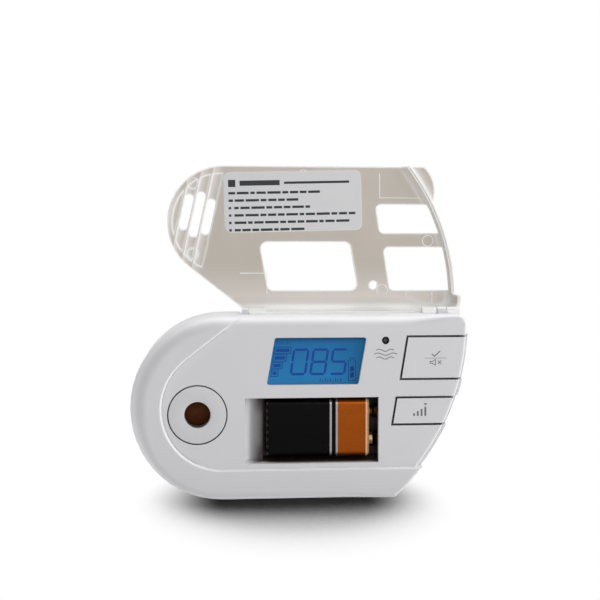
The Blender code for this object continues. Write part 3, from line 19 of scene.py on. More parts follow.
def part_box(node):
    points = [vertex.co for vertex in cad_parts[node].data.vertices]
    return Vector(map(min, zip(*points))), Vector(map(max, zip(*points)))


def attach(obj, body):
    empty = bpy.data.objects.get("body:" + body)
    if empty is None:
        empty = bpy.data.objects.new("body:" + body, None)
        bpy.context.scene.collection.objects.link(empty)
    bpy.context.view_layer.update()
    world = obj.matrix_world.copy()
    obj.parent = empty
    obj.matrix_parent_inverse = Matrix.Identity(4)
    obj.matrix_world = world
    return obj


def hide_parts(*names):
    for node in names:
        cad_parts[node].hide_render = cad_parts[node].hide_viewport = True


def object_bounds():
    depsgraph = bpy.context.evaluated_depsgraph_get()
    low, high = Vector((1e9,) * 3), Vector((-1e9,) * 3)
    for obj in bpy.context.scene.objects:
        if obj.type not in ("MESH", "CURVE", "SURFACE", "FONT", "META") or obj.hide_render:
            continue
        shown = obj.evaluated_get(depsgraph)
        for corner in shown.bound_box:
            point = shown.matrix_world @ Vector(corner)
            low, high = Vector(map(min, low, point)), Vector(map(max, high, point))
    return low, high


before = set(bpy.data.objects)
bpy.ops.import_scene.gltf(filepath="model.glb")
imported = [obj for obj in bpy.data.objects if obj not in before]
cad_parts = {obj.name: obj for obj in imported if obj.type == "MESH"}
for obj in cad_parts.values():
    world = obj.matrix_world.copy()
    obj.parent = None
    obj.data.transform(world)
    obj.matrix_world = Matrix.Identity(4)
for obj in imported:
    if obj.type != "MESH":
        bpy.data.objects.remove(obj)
CAD_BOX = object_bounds()

MM = 0.001
UPRIGHT = (math.radians(90), 0, 0)
LOG = logging.getLogger("alarm")

Point = Sequence[float]
Span = tuple[float, float]
Box = tuple[Vector, Vector]


# ---------------------------------------------------------------- colours and nodes

# A Mix node for colours, with the numbers of its two colour inputs and its colour output.
COLOURS = {"data_type": "RGBA"}
FIRST, SECOND, MIXED = 6, 7, 2

# A Map Range node that eases in and out, and a Mapping node that moves the pattern, not the point.
SMOOTH = {"interpolation_type": "SMOOTHSTEP"}
TEXTURE = {"vector_type": "TEXTURE"}


def linear(hex_code: str) -> tuple[float, float, float, float]:
    """Turns an sRGB hex colour into the linear colour that a node takes.

    Args:
        hex_code: Six hexadecimal digits, such as "E6E6E8".

    Returns:
        Red, green, blue and an alpha of one.
    """
    levels = [int(hex_code[i:i + 2], 16) / 255 for i in (0, 2, 4)]
    red, green, blue = [v / 12.92 if v <= 0.04045 else ((v + 0.055) / 1.055) ** 2.4 for v in levels]
    return red, green, blue, 1.0


def wire(tree: bpy.types.NodeTree, node: bpy.types.Node, sockets: dict[Any, Any]) -> None:
    """Sets a node's inputs or links them.

    Args:
        tree: The node tree that holds the node.
        node: The node.
        sockets: For an input's name or number, the value that it takes, a colour as sRGB hex, or the
            output socket linked to it. A node stands for its first output.
    """
    for key, value in sockets.items():
        source = value.outputs[0] if isinstance(value, bpy.types.Node) else value
        if isinstance(source, bpy.types.NodeSocket):
            tree.links.new(source, node.inputs[key])
        else:
            node.inputs[key].default_value = linear(source) if isinstance(source, str) else source


def put(tree: bpy.types.NodeTree, kind: str, settings: dict[str, Any] | None = None,
        sockets: dict[Any, Any] | None = None) -> bpy.types.Node:
    """Adds one node, sets it up and links it.

    Args:
        tree: The node tree that gets the node.
        kind: The node's type name.
        settings: Properties of the node itself.
        sockets: Its inputs, as wire() takes them.

    Returns:
        The new node.
    """
    made = tree.nodes.new(kind)
    for key, value in (settings or {}).items():
        setattr(made, key, value)
    wire(tree, made, sockets or {})
    return made


class Slot(Enum):
    """The record's material slots."""

    WHITE = "white_plastic"
    BUTTON = "button_plastic"
    MILKY = "translucent_plastic"
    BLACK = "black_plastic"
    STEEL = "steel"
    BRASS = "brass"
    ELASTOMER = "elastomer"
    DISPLAY = "lcd_blue"
    LIGHT_GUIDE = "light_guide"
    LENS = "lamp_lens"
    JACKET = "battery_jacket"
    PAPER = "label_paper"
    BOARD = "board_green"
    CERAMIC = "ceramic"
    SLEEVE = "capacitor_sleeve"
    MODULE = "module_blue"


class Body(Enum):
    """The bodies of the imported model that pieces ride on."""

    HOUSING = "housing"
    COVER = "cover"
    TEST = "test_button"
    PEAK = "peak_button"
    BATTERY = "battery"


# ---------------------------------------------------------------- finishes

@dataclass(frozen=True)
class End:
    """Where a shade ends: the axis that it fades along, where that begins and where it is gone."""

    axis: str
    kept: float
    gone: float


@dataclass(frozen=True)
class PaintedShade:
    """Painted shade: a dark tone mixed into a colour where little light gets in.

    Its sky is the open shares of the sky at which only the dark shows, and at which none does.
    """

    tone: str
    reach: float = 1.8 * MM
    sky: Span = (0.38, 0.82)
    ends: tuple[End, ...] = (End("Y", -33 * MM, -30 * MM), End("Z", 33.5 * MM, 34.5 * MM),
                             End("Z", -24 * MM, -25 * MM))


@dataclass(frozen=True)
class Finish:
    """What every finish has: a name for the real material, its colour and its base roughness."""

    title: str
    colour: str
    roughness: float
    slot: Slot

    def material(self) -> bpy.types.Material:
        """Gives the finish's material, which is built on first use.

        Returns:
            The material.
        """
        found = bpy.data.materials.get(self.title)
        if found:
            return found
        made = bpy.data.materials.new(self.title)
        made.use_nodes = True
        made.diffuse_color = linear(self.colour)
        shader = made.node_tree.nodes["Principled BSDF"]
        wire(made.node_tree, shader, {"Base Color": self.colour, "Roughness": self.roughness})
        self.dress(made.node_tree, shader)
        return made

    def dress(self, tree: bpy.types.NodeTree, shader: bpy.types.Node) -> None:
        """Adds the finish's own nodes to the shader."""

    def place(self, tree: bpy.types.NodeTree, stretch: Point = (1, 1, 1), origin: Point = (0, 0, 0),
              turn: Point = (0, 0, 0)) -> bpy.types.NodeSocket:
        """Adds coordinates fixed to the piece.

        Args:
            tree: The material's tree.
            stretch: How much the pattern is squeezed along each axis.
            origin: The point of the object that the pattern starts from.
            turn: The pattern's turn about each axis.

        Returns:
            The mapped Object coordinates.
        """
        source = put(tree, "ShaderNodeTexCoord")
        values = {"Vector": source.outputs["Object"], "Location": origin, "Rotation": turn,
                  "Scale": tuple(1 / s for s in stretch)}
        return put(tree, "ShaderNodeMapping", TEXTURE, values).outputs["Vector"]

    def mottle(self, tree: bpy.types.NodeTree, vector: bpy.types.NodeSocket, size: float, first: str,
               second: str) -> bpy.types.NodeSocket:
        """Adds a cloudy blend of two colours.

        Args:
            tree: The material's tree.
            vector: The coordinates it reads.
            size: The clouds' width in metres.
            first: The colour of the low parts, as sRGB hex.
            second: The colour of the high parts.

        Returns:
            The colour.
        """
        cloud = put(tree, "ShaderNodeTexNoise", {}, {"Vector": vector, "Scale": 1 / size, "Detail": 3.0})
        values = {"Factor": cloud.outputs["Fac"], FIRST: first, SECOND: second}
        return put(tree, "ShaderNodeMix", COLOURS, values).outputs[MIXED]

    def vary(self, tree: bpy.types.NodeTree, vector: bpy.types.NodeSocket, size: float, swing: float,
             noise: Span = (0.3, 0.7)) -> bpy.types.NodeSocket:
        """Adds a roughness that wanders round the base roughness.

        Args:
            tree: The material's tree.
            vector: The coordinates it reads.
            size: The patches' width in metres.
            swing: How far the roughness goes up and down.
            noise: The levels of the noise that give the least and the most.

        Returns:
            The roughness.
        """
        patch = put(tree, "ShaderNodeTexNoise", {}, {"Vector": vector, "Scale": 1 / size, "Detail": 4.0})
        values = {"Value": patch.outputs["Fac"], "From Min": noise[0], "From Max": noise[1],
                  "To Min": self.roughness - swing, "To Max": self.roughness + swing}
        return put(tree, "ShaderNodeMapRange", {}, values).outputs["Result"]

    def paint_side_light(self, tree: bpy.types.NodeTree, face: bpy.types.NodeSocket, side: str,
               facing: Span = (0.55, 0.97)) -> bpy.types.NodeSocket:
        """Adds painted light to a colour: it grows paler where the surface turns away from the front.

        Args:
            tree: The material's tree.
            face: The colour of what faces straight forward or back.
            side: The painted-light colour of rounded edges and side walls, as sRGB hex.
            facing: The shares of forward facing at which only the side colour shows, and only the face's.

        Returns:
            The colour.
        """
        source = put(tree, "ShaderNodeTexCoord")
        parts = put(tree, "ShaderNodeSeparateXYZ", {}, {"Vector": source.outputs["Normal"]})
        front = put(tree, "ShaderNodeMath", {"operation": "ABSOLUTE"}, {0: parts.outputs["Y"]})
        values = {"Value": front, "From Min": facing[0], "From Max": facing[1]}
        share = put(tree, "ShaderNodeMapRange", SMOOTH, values)
        values = {"Factor": share, FIRST: side, SECOND: face}
        return put(tree, "ShaderNodeMix", COLOURS, values).outputs[MIXED]

    def shaded(self, tree: bpy.types.NodeTree, colour: bpy.types.NodeSocket,
               hollow: PaintedShade) -> bpy.types.NodeSocket:
        """Paints the shade of a hollow into a colour.

        Args:
            tree: The material's tree.
            colour: The colour in the open.
            hollow: The painted shade's dark tone, how deep a hollow it needs and where it ends.

        Returns:
            The colour.
        """
        # Painted shade: the less of the sky is open within reach, the more of the dark tone is mixed in.
        sky = put(tree, "ShaderNodeAmbientOcclusion", {"samples": 8}, {"Distance": hollow.reach})
        values = {"Value": sky.outputs["AO"], "From Min": hollow.sky[0], "From Max": hollow.sky[1]}
        share = put(tree, "ShaderNodeMapRange", SMOOTH, values)
        parts = put(tree, "ShaderNodeSeparateXYZ", {}, {"Vector": self.place(tree)})
        for end in hollow.ends:
            values = {"Value": parts.outputs[end.axis], "From Min": end.kept, "From Max": end.gone}
            past = put(tree, "ShaderNodeMapRange", {}, values)
            share = put(tree, "ShaderNodeMath", {"operation": "MAXIMUM"}, {0: share, 1: past})
        values = {"Factor": share, FIRST: hollow.tone, SECOND: colour}
        return put(tree, "ShaderNodeMix", COLOURS, values).outputs[MIXED]

    def relief(self, tree: bpy.types.NodeTree, height: bpy.types.NodeSocket, depth: float,
               edge: float = 0.0) -> bpy.types.NodeSocket:
        """Adds a bump, over edges that are softened in the shading.

        Args:
            tree: The material's tree.
            height: The pattern that stands up.
            depth: How high it stands in metres.
            edge: The radius in metres to which sharp edges look rounded.

        Returns:
            The normal.
        """
        bump = put(tree, "ShaderNodeBump", {}, {"Height": height, "Distance": depth, "Strength": 1.0})
        if edge:
            soft = put(tree, "ShaderNodeBevel", {"samples": 6}, {"Radius": edge})
            wire(tree, bump, {"Normal": soft})
        return bump.outputs["Normal"]


@dataclass(frozen=True)
class MouldedPlastic(Finish):
    """Injection-moulded plastic with a fine spark-eroded texture: even, matt, with soft broad highlights.

    The real texture is about 0.05 mm wide, which is too fine to show, so the grain is drawn coarser.
    """

    shade: str
    # The painted-light colour of rounded edges and side walls, if any.
    rim_painted_light: str = ""
    grain: float = 0.45 * MM
    depth: float = 0.006 * MM
    edge: float = 0.3 * MM
    flow: float = 22 * MM
    gloss_patch: float = 9 * MM
    gloss_swing: float = 0.05
    # Painted shade in gaps and wells.
    hollows: tuple[PaintedShade, ...] = ()

    def dress(self, tree: bpy.types.NodeTree, shader: bpy.types.Node) -> None:
        """Adds the mould grain, a barely seen flow mottle, painted light on edges, painted shade in hollows
        and uneven gloss.

        Args:
            tree: The material's tree.
            shader: Its main shader.
        """
        vector = self.place(tree)
        colour = self.mottle(tree, vector, self.flow, self.colour, self.shade)
        # Painted light on edges and walls, then painted shade in the hollows.
        if self.rim_painted_light:
            colour = self.paint_side_light(tree, colour, self.rim_painted_light)
        for hollow in self.hollows:
            colour = self.shaded(tree, colour, hollow)
        values = {"Vector": vector, "Scale": 1 / self.grain, "Detail": 2.0}
        grain = put(tree, "ShaderNodeTexNoise", {}, values)
        wire(tree, shader, {"Base Color": colour,
                            "Roughness": self.vary(tree, vector, self.gloss_patch, self.gloss_swing),
                            "Normal": self.relief(tree, grain.outputs["Fac"], self.depth, self.edge)})


@dataclass(frozen=True)
class MilkyPlastic(Finish):
    """Smoky translucent styrene, about 1.5 mm thick: the light behind it comes through soft and warm.

    Its flow streaks are about a centimetre wide and its ripples half that, as cooling leaves them. Its
    walls, edges, hinge band and louvres are painted paler as light, and its edges get a painted glow.
    """

    shade: str
    # The painted-light colour of walls, edges and the hinge band.
    rim_painted_light: str
    clearness: float = 0.25
    refraction: float = 1.55
    flow: float = 14 * MM
    flow_stretch: Point = (0.35, 1, 1)
    flow_lean: float = 62.0
    ripple: float = 6 * MM
    ripple_depth: float = 0.05 * MM
    gloss_patch: float = 12 * MM
    gloss_swing: float = 0.04
    wall_facing: Span = (0.4, 0.9)
    edge: float = 0.35 * MM
    # Painted light near edges: a paler tone and a glow, reaching about the halo's width.
    painted_edge_light: str = "F6F6F4"
    painted_edge_glow: float = 0.16
    painted_glow_tone: str = "F4F6F8"
    halo: float = 1.6 * MM
    halo_sky: Span = (0.96, 0.62)
    halo_likeness: Span = (0.998, 0.9)
    # Painted light above the hinge: paler, and white along the web.
    hinge_rise: float = 0.0
    hinge_fade: float = 24 * MM
    hinge_painted_light: str = "FAFAF8"
    web_fade: Span = (1 * MM, 3.5 * MM)
    louvre: Point | None = None
    # Painted light down one side of each louvre.
    louvre_painted_light: str = "F4F0EC"
    louvre_pitch: float = 5.3 * MM
    louvre_lean: float = 12.5
    louvre_end: Span = (1.9, 2.0)
    streak_span: Span = (0.12, 0.75)
    streak_share: Span = (0.75, 0.1)
    round_end: Point = (0, 0, 0)
    round_radius: float = 34 * MM
    round_fade: float = 1 * MM

    def painted_edge_share(self, tree: bpy.types.NodeTree) -> bpy.types.NodeSocket:
        """Adds the share of painted light, which rises toward edges and inner corners, where the plastic
        gathers the light.

        Args:
            tree: The material's tree.

        Returns:
            The share.
        """
        sky = put(tree, "ShaderNodeAmbientOcclusion", {"samples": 8}, {"Distance": 3 * self.halo})
        values = {"Value": sky.outputs["AO"], "From Min": self.halo_sky[0], "From Max": self.halo_sky[1]}
        inner = put(tree, "ShaderNodeMapRange", SMOOTH, values)
        soft = put(tree, "ShaderNodeBevel", {"samples": 8}, {"Radius": self.halo})
        flat = put(tree, "ShaderNodeNewGeometry")
        values = {0: soft, 1: flat.outputs["Normal"]}
        likeness = put(tree, "ShaderNodeVectorMath", {"operation": "DOT_PRODUCT"}, values)
        values = {"Value": likeness.outputs["Value"], "From Min": self.halo_likeness[0],
                  "From Max": self.halo_likeness[1]}
        outer = put(tree, "ShaderNodeMapRange", SMOOTH, values)
        larger = put(tree, "ShaderNodeMath", {"operation": "MAXIMUM"}, {0: inner, 1: outer})
        values = {0: 1.0, 1: flat.outputs["Backfacing"]}
        outside = put(tree, "ShaderNodeMath", {"operation": "SUBTRACT"}, values)
        return put(tree, "ShaderNodeMath", {"operation": "MULTIPLY"}, {0: larger, 1: outside}).outputs[0]

    def louvres(self, tree: bpy.types.NodeTree) -> bpy.types.NodeSocket:
        """Adds the share of a painted light band down one side of each thin louvre, within the round end.

        Args:
            tree: The material's tree.

        Returns:
            The share.
        """
        leaned = self.place(tree, origin=self.louvre, turn=(0, math.radians(self.louvre_lean), 0))
        across = put(tree, "ShaderNodeSeparateXYZ", {}, {"Vector": leaned})
        values = {0: across.outputs["X"], 1: self.louvre_pitch}
        steps = put(tree, "ShaderNodeMath", {"operation": "DIVIDE"}, values)
        along = put(tree, "ShaderNodeMath", {"operation": "FRACT"}, {0: steps})
        values = {"Value": along, "From Min": self.streak_span[0], "From Max": self.streak_span[1],
                  "To Min": self.streak_share[0], "To Max": self.streak_share[1]}
        share = put(tree, "ShaderNodeMapRange", {}, values)
        values = {0: self.place(tree, origin=self.round_end)}
        away = put(tree, "ShaderNodeVectorMath", {"operation": "LENGTH"}, values)
        fade = (self.round_radius, self.round_radius + self.round_fade)
        for value, (kept, gone) in ((away.outputs["Value"], fade), (steps, self.louvre_end)):
            values = {"Value": value, "From Min": kept, "From Max": gone, "To Min": 1.0, "To Max": 0.0}
            inside = put(tree, "ShaderNodeMapRange", {}, values)
            share = put(tree, "ShaderNodeMath", {"operation": "MULTIPLY"}, {0: share, 1: inside})
        return share.outputs[0]

    def dress(self, tree: bpy.types.NodeTree, shader: bpy.types.Node) -> None:
        """Adds flow streaks, a wavy surface, painted light on walls, edges, hinge and louvres, a painted
        glow at the edges, and the light that passes through.

        Args:
            tree: The material's tree.
            shader: Its main shader.
        """
        vector = self.place(tree)
        leaned = self.place(tree, stretch=self.flow_stretch, turn=(0, math.radians(self.flow_lean), 0))
        colour = self.mottle(tree, leaned, self.flow, self.colour, self.shade)
        # Painted light: walls and rounded edges turn paler.
        colour = self.paint_side_light(tree, colour, self.rim_painted_light, self.wall_facing)
        # Painted light: the cover turns paler above the hinge and white along the web there.
        if self.hinge_rise:
            parts = put(tree, "ShaderNodeSeparateXYZ", {}, {"Vector": vector})
            for tone, start, end in ((self.rim_painted_light, 0.0, self.hinge_fade), (self.hinge_painted_light, *self.web_fade)):
                values = {"Value": parts.outputs["Z"], "From Min": self.hinge_rise + start,
                          "From Max": self.hinge_rise + end}
                above = put(tree, "ShaderNodeMapRange", SMOOTH, values)
                values = {"Factor": above, FIRST: tone, SECOND: colour}
                colour = put(tree, "ShaderNodeMix", COLOURS, values).outputs[MIXED]
        # Painted light: a paler band down one side of each louvre.
        if self.louvre:
            values = {"Factor": self.louvres(tree), FIRST: colour, SECOND: self.louvre_painted_light}
            colour = put(tree, "ShaderNodeMix", COLOURS, values).outputs[MIXED]
        # Painted light: a paler colour and a painted glow near edges and inner corners.
        edges = self.painted_edge_share(tree)
        values = {"Factor": edges, FIRST: colour, SECOND: self.painted_edge_light}
        colour = put(tree, "ShaderNodeMix", COLOURS, values).outputs[MIXED]
        values = {"Factor": edges, FIRST: "000000", SECOND: self.painted_glow_tone}
        glow = put(tree, "ShaderNodeMix", COLOURS, values).outputs[MIXED]
        values = {"Vector": vector, "Scale": 1 / self.ripple, "Detail": 1.0}
        ripple = put(tree, "ShaderNodeTexNoise", {}, values)
        wire(tree, shader, {"Base Color": colour, "Emission Color": glow,
                            "Emission Strength": self.painted_edge_glow,
                            "Roughness": self.vary(tree, vector, self.gloss_patch, self.gloss_swing),
                            "Normal": self.relief(tree, ripple.outputs["Fac"], self.ripple_depth, self.edge),
                            "IOR": self.refraction, "Transmission Weight": self.clearness})


@dataclass(frozen=True)
class CoatedPaper(Finish):
    """White label stock under a thin clear film: matt fibre below, a faint even sheen above.

    Paper fibre is about 0.02 mm wide, which is too fine to show, so it is drawn coarser.
    """

    shade: str
    cloud: float = 8 * MM
    fibre: float = 0.5 * MM
    fibre_stretch: Point = (3, 1, 1)
    fibre_lean: float = 20.0
    fibre_depth: float = 0.004 * MM
    film: float = 0.15
    film_roughness: float = 0.25

    def dress(self, tree: bpy.types.NodeTree, shader: bpy.types.Node) -> None:
        """Adds paper fibre and the slight lift of the film.

        Args:
            tree: The material's tree.
            shader: Its main shader.
        """
        colour = self.mottle(tree, self.place(tree), self.cloud, self.colour, self.shade)
        fibres = self.place(tree, stretch=self.fibre_stretch, turn=(0, math.radians(self.fibre_lean), 0))
        values = {"Vector": fibres, "Scale": 1 / self.fibre, "Detail": 3.0}
        fibre = put(tree, "ShaderNodeTexNoise", {}, values)
        wire(tree, shader, {"Base Color": colour,
                            "Normal": self.relief(tree, fibre.outputs["Fac"], self.fibre_depth),
                            "Coat Weight": self.film, "Coat Roughness": self.film_roughness})


@dataclass(frozen=True)
class Print(Finish):
    """Pad-printed or reverse-printed ink: a thin flat film, slightly broken by the surface below it.

    Ink breaks up over about 0.05 mm, which is too fine to show, so the grain is drawn coarser.
    """

    grain: float = 0.3 * MM
    density: Span = (0.85, 1.15)
    unevenness: float = 0.5
    sheen: float = 0.1

    def dress(self, tree: bpy.types.NodeTree, shader: bpy.types.Node) -> None:
        """Adds the uneven density of a printed film.

        Args:
            tree: The material's tree.
            shader: Its main shader.
        """
        values = {"Vector": self.place(tree), "Scale": 1 / self.grain, "Detail": 2.0}
        grain = put(tree, "ShaderNodeTexNoise", {}, values)
        values = {"Value": grain.outputs["Fac"], "To Min": self.density[0], "To Max": self.density[1]}
        level = put(tree, "ShaderNodeMapRange", {}, values)
        values = {"Color": self.colour, "Fac": self.unevenness, "Value": level}
        tone = put(tree, "ShaderNodeHueSaturation", {}, values)
        wire(tree, shader, {"Base Color": tone, "Specular IOR Level": self.sheen})


@dataclass(frozen=True)
class LitDisplay(Finish):
    """A liquid crystal pane over a blue lamp: even blue, darker toward the top with a painted shadow under
    the top bezel, and deeper at the side far from the lamp.

    The spans are shares of the pane's width or height, counted from its middle. The rows of the
    polariser are drawn far coarser than the real ones, which are too fine to show.
    """

    low: str
    high: str
    far_side: str
    bezel_shadow: str
    middle: Point
    size: Point
    glow: float = 0.4
    rise: Span = (-0.5, 0.5)
    far_span: Span = (0.1, 0.5)
    shadow_span: Span = (0.3, 0.42)
    row: float = 3.5 * MM
    row_depth: float = 0.001 * MM
    sheen: float = 0.1

    def dress(self, tree: bpy.types.NodeTree, shader: bpy.types.Node) -> None:
        """Adds the lamp's uneven glow, a painted shadow under the top bezel and the fine rows of the
        polariser.

        Args:
            tree: The material's tree.
            shader: Its main shader.
        """
        vector = self.place(tree, stretch=tuple(1 / s for s in self.size), origin=self.middle)
        parts = put(tree, "ShaderNodeSeparateXYZ", {}, {"Vector": vector})
        values = {"Value": parts.outputs["Z"], "From Min": self.rise[0], "From Max": self.rise[1]}
        upward = put(tree, "ShaderNodeMapRange", {}, values)
        values = {"Factor": upward, FIRST: self.low, SECOND: self.high}
        colour = put(tree, "ShaderNodeMix", COLOURS, values).outputs[MIXED]
        # The band under the top bezel is a painted shadow.
        for axis, span, tone in (("X", self.far_span, self.far_side),
                                 ("Z", self.shadow_span, self.bezel_shadow)):
            values = {"Value": parts.outputs[axis], "From Min": span[0], "From Max": span[1]}
            share = put(tree, "ShaderNodeMapRange", SMOOTH, values)
            values = {"Factor": share, FIRST: colour, SECOND: tone}
            colour = put(tree, "ShaderNodeMix", COLOURS, values).outputs[MIXED]
        values = {"Vector": self.place(tree), "Scale": 1 / self.row, "Distortion": 0.0}
        rows = put(tree, "ShaderNodeTexWave", {"bands_direction": "Z"}, values)
        wire(tree, shader, {"Base Color": colour, "Emission Color": colour, "Emission Strength": self.glow,
                            "Normal": self.relief(tree, rows.outputs["Fac"], self.row_depth),
                            "Specular IOR Level": self.sheen})


@dataclass(frozen=True)
class ClearPlastic(Finish):
    """Cast lens or light-guide plastic: glossy, tinted where it is thick, under a faint polishing haze."""

    clearness: float
    refraction: float = 1.5
    haze: float = 1.2 * MM
    haze_depth: float = 0.01 * MM

    def dress(self, tree: bpy.types.NodeTree, shader: bpy.types.Node) -> None:
        """Adds clearness and fine polishing haze.

        Args:
            tree: The material's tree.
            shader: Its main shader.
        """
        values = {"Vector": self.place(tree), "Scale": 1 / self.haze, "Detail": 2.0}
        haze = put(tree, "ShaderNodeTexNoise", {}, values)
        wire(tree, shader, {"Normal": self.relief(tree, haze.outputs["Fac"], self.haze_depth),
                            "IOR": self.refraction, "Transmission Weight": self.clearness})


@dataclass(frozen=True)
class SheetMetal(Finish):
    """Rolled or plated metal: bright, with fine lines one way and small changes of tarnish.

    Rolling lines are about 0.02 mm apart, which is too fine to show, so they are drawn coarser.
    """

    shade: str
    lines: Point = (1, 1, 1)
    line_size: float = 0.35 * MM
    line_depth: float = 0.006 * MM
    tarnish: float = 4 * MM
    gloss_patch: float = 2.5 * MM
    gloss_swing: float = 0.08
    edge: float = 0.15 * MM

    def dress(self, tree: bpy.types.NodeTree, shader: bpy.types.Node) -> None:
        """Adds drawn lines and tarnish.

        Args:
            tree: The material's tree.
            shader: Its main shader.
        """
        vector = self.place(tree)
        colour = self.mottle(tree, vector, self.tarnish, self.colour, self.shade)
        values = {"Vector": self.place(tree, stretch=self.lines), "Scale": 1 / self.line_size, "Detail": 3.0}
        line = put(tree, "ShaderNodeTexNoise", {}, values)
        wire(tree, shader, {"Base Color": colour, "Metallic": 1.0,
                            "Roughness": self.vary(tree, vector, self.gloss_patch, self.gloss_swing),
                            "Normal": self.relief(tree, line.outputs["Fac"], self.line_depth, self.edge)})


@dataclass(frozen=True)
class PrintedJacket(Finish):
    """A battery's printed metal jacket: lacquered bands across its length over drawn steel.

    The bands' places are shares of the jacket's length. Scuffs in the lacquer are drawn somewhat coarser
    than the real ones, so that they show.
    """

    end: str
    stripe: str
    # A painted highlight along the rolled end.
    lip_painted_highlight: str
    start_x: float
    length: float
    band: float = 0.69
    stripe_width: float = 0.02
    rolled: float = 0.962
    stripe_metal: float = 0.9
    end_metal: float = 0.85
    lip_metal: float = 0.25
    scuff: float = 0.5 * MM
    scuff_stretch: Point = (0.1, 1, 1)
    scuff_depth: float = 0.0012 * MM
    gloss_patch: float = 6 * MM
    gloss_swing: float = 0.06
    edge: float = 0.4 * MM
    sheen: float = 0.05

    def dress(self, tree: bpy.types.NodeTree, shader: bpy.types.Node) -> None:
        """Adds the bands, the bright end's metal sheen, a painted highlight at the rolled end and scuffs
        along the jacket.

        Args:
            tree: The material's tree.
            shader: Its main shader.
        """
        vector = self.place(tree)
        parts = put(tree, "ShaderNodeSeparateXYZ", {}, {"Vector": vector})
        values = {"Value": parts.outputs["X"], "From Min": self.start_x,
                  "From Max": self.start_x + self.length}
        along = put(tree, "ShaderNodeMapRange", {}, values)
        wide = self.stripe_width
        start = self.band - 4 * wide
        # The last band, at the rolled end, is a painted highlight.
        steps = [(start, self.stripe, self.stripe_metal), (start + wide, self.colour, 0.0),
                 (self.band - wide, self.stripe, self.stripe_metal), (self.band, self.end, self.end_metal),
                 (self.rolled, self.lip_painted_highlight, self.lip_metal)]
        places = [step[0] for step in steps]
        tones = [linear(step[1]) for step in steps]
        metals = [(step[2], step[2], step[2], 1.0) for step in steps]
        ramps = []
        for plain, levels in ((linear(self.colour), tones), ((0.0, 0.0, 0.0, 1.0), metals)):
            ramp = put(tree, "ShaderNodeValToRGB", {}, {"Fac": along})
            ramp.color_ramp.interpolation = "CONSTANT"
            stops = ramp.color_ramp.elements
            stops[0].position = 0.0
            stops[0].color = plain
            stops.remove(stops[1])
            for place, level in zip(places, levels):
                stops.new(place).color = level
            ramps.append(ramp.outputs["Color"])
        values = {"Vector": self.place(tree, stretch=self.scuff_stretch), "Scale": 1 / self.scuff,
                  "Detail": 3.0}
        scuff = put(tree, "ShaderNodeTexNoise", {}, values)
        wire(tree, shader, {"Base Color": ramps[0], "Metallic": ramps[1],
                            "Roughness": self.vary(tree, vector, self.gloss_patch, self.gloss_swing),
                            "Normal": self.relief(tree, scuff.outputs["Fac"], self.scuff_depth, self.edge),
                            "Specular IOR Level": self.sheen})


@dataclass(frozen=True)
class SolderMask(Finish):
    """A glass-epoxy board under green solder mask: copper tracks show as paler raised lines.

    The tracks lie on the usual 2.54 mm grid of holes.
    """

    track: str
    pitch: float = 2.54 * MM
    run: float = 4 * 2.54 * MM
    stagger: float = 0.35
    track_width: float = 0.3 * MM
    track_blur: float = 0.1
    track_depth: float = 0.02 * MM
    lacquer: float = 0.3
    lacquer_roughness: float = 0.2

    def dress(self, tree: bpy.types.NodeTree, shader: bpy.types.Node) -> None:
        """Adds tracks on the grid and the mask's gloss.

        Args:
            tree: The material's tree.
            shader: Its main shader.
        """
        values = {"Vector": self.place(tree, turn=UPRIGHT), "Scale": 1.0, "Brick Width": self.run,
                  "Row Height": self.pitch, "Mortar Size": self.track_width,
                  "Mortar Smooth": self.track_blur, "Color1": self.colour, "Color2": self.colour,
                  "Mortar": self.track}
        tracks = put(tree, "ShaderNodeTexBrick", {"offset": self.stagger, "squash": 1.0}, values)
        wire(tree, shader, {"Base Color": tracks.outputs["Color"],
                            "Normal": self.relief(tree, tracks.outputs["Fac"], self.track_depth),
                            "Coat Weight": self.lacquer, "Coat Roughness": self.lacquer_roughness})


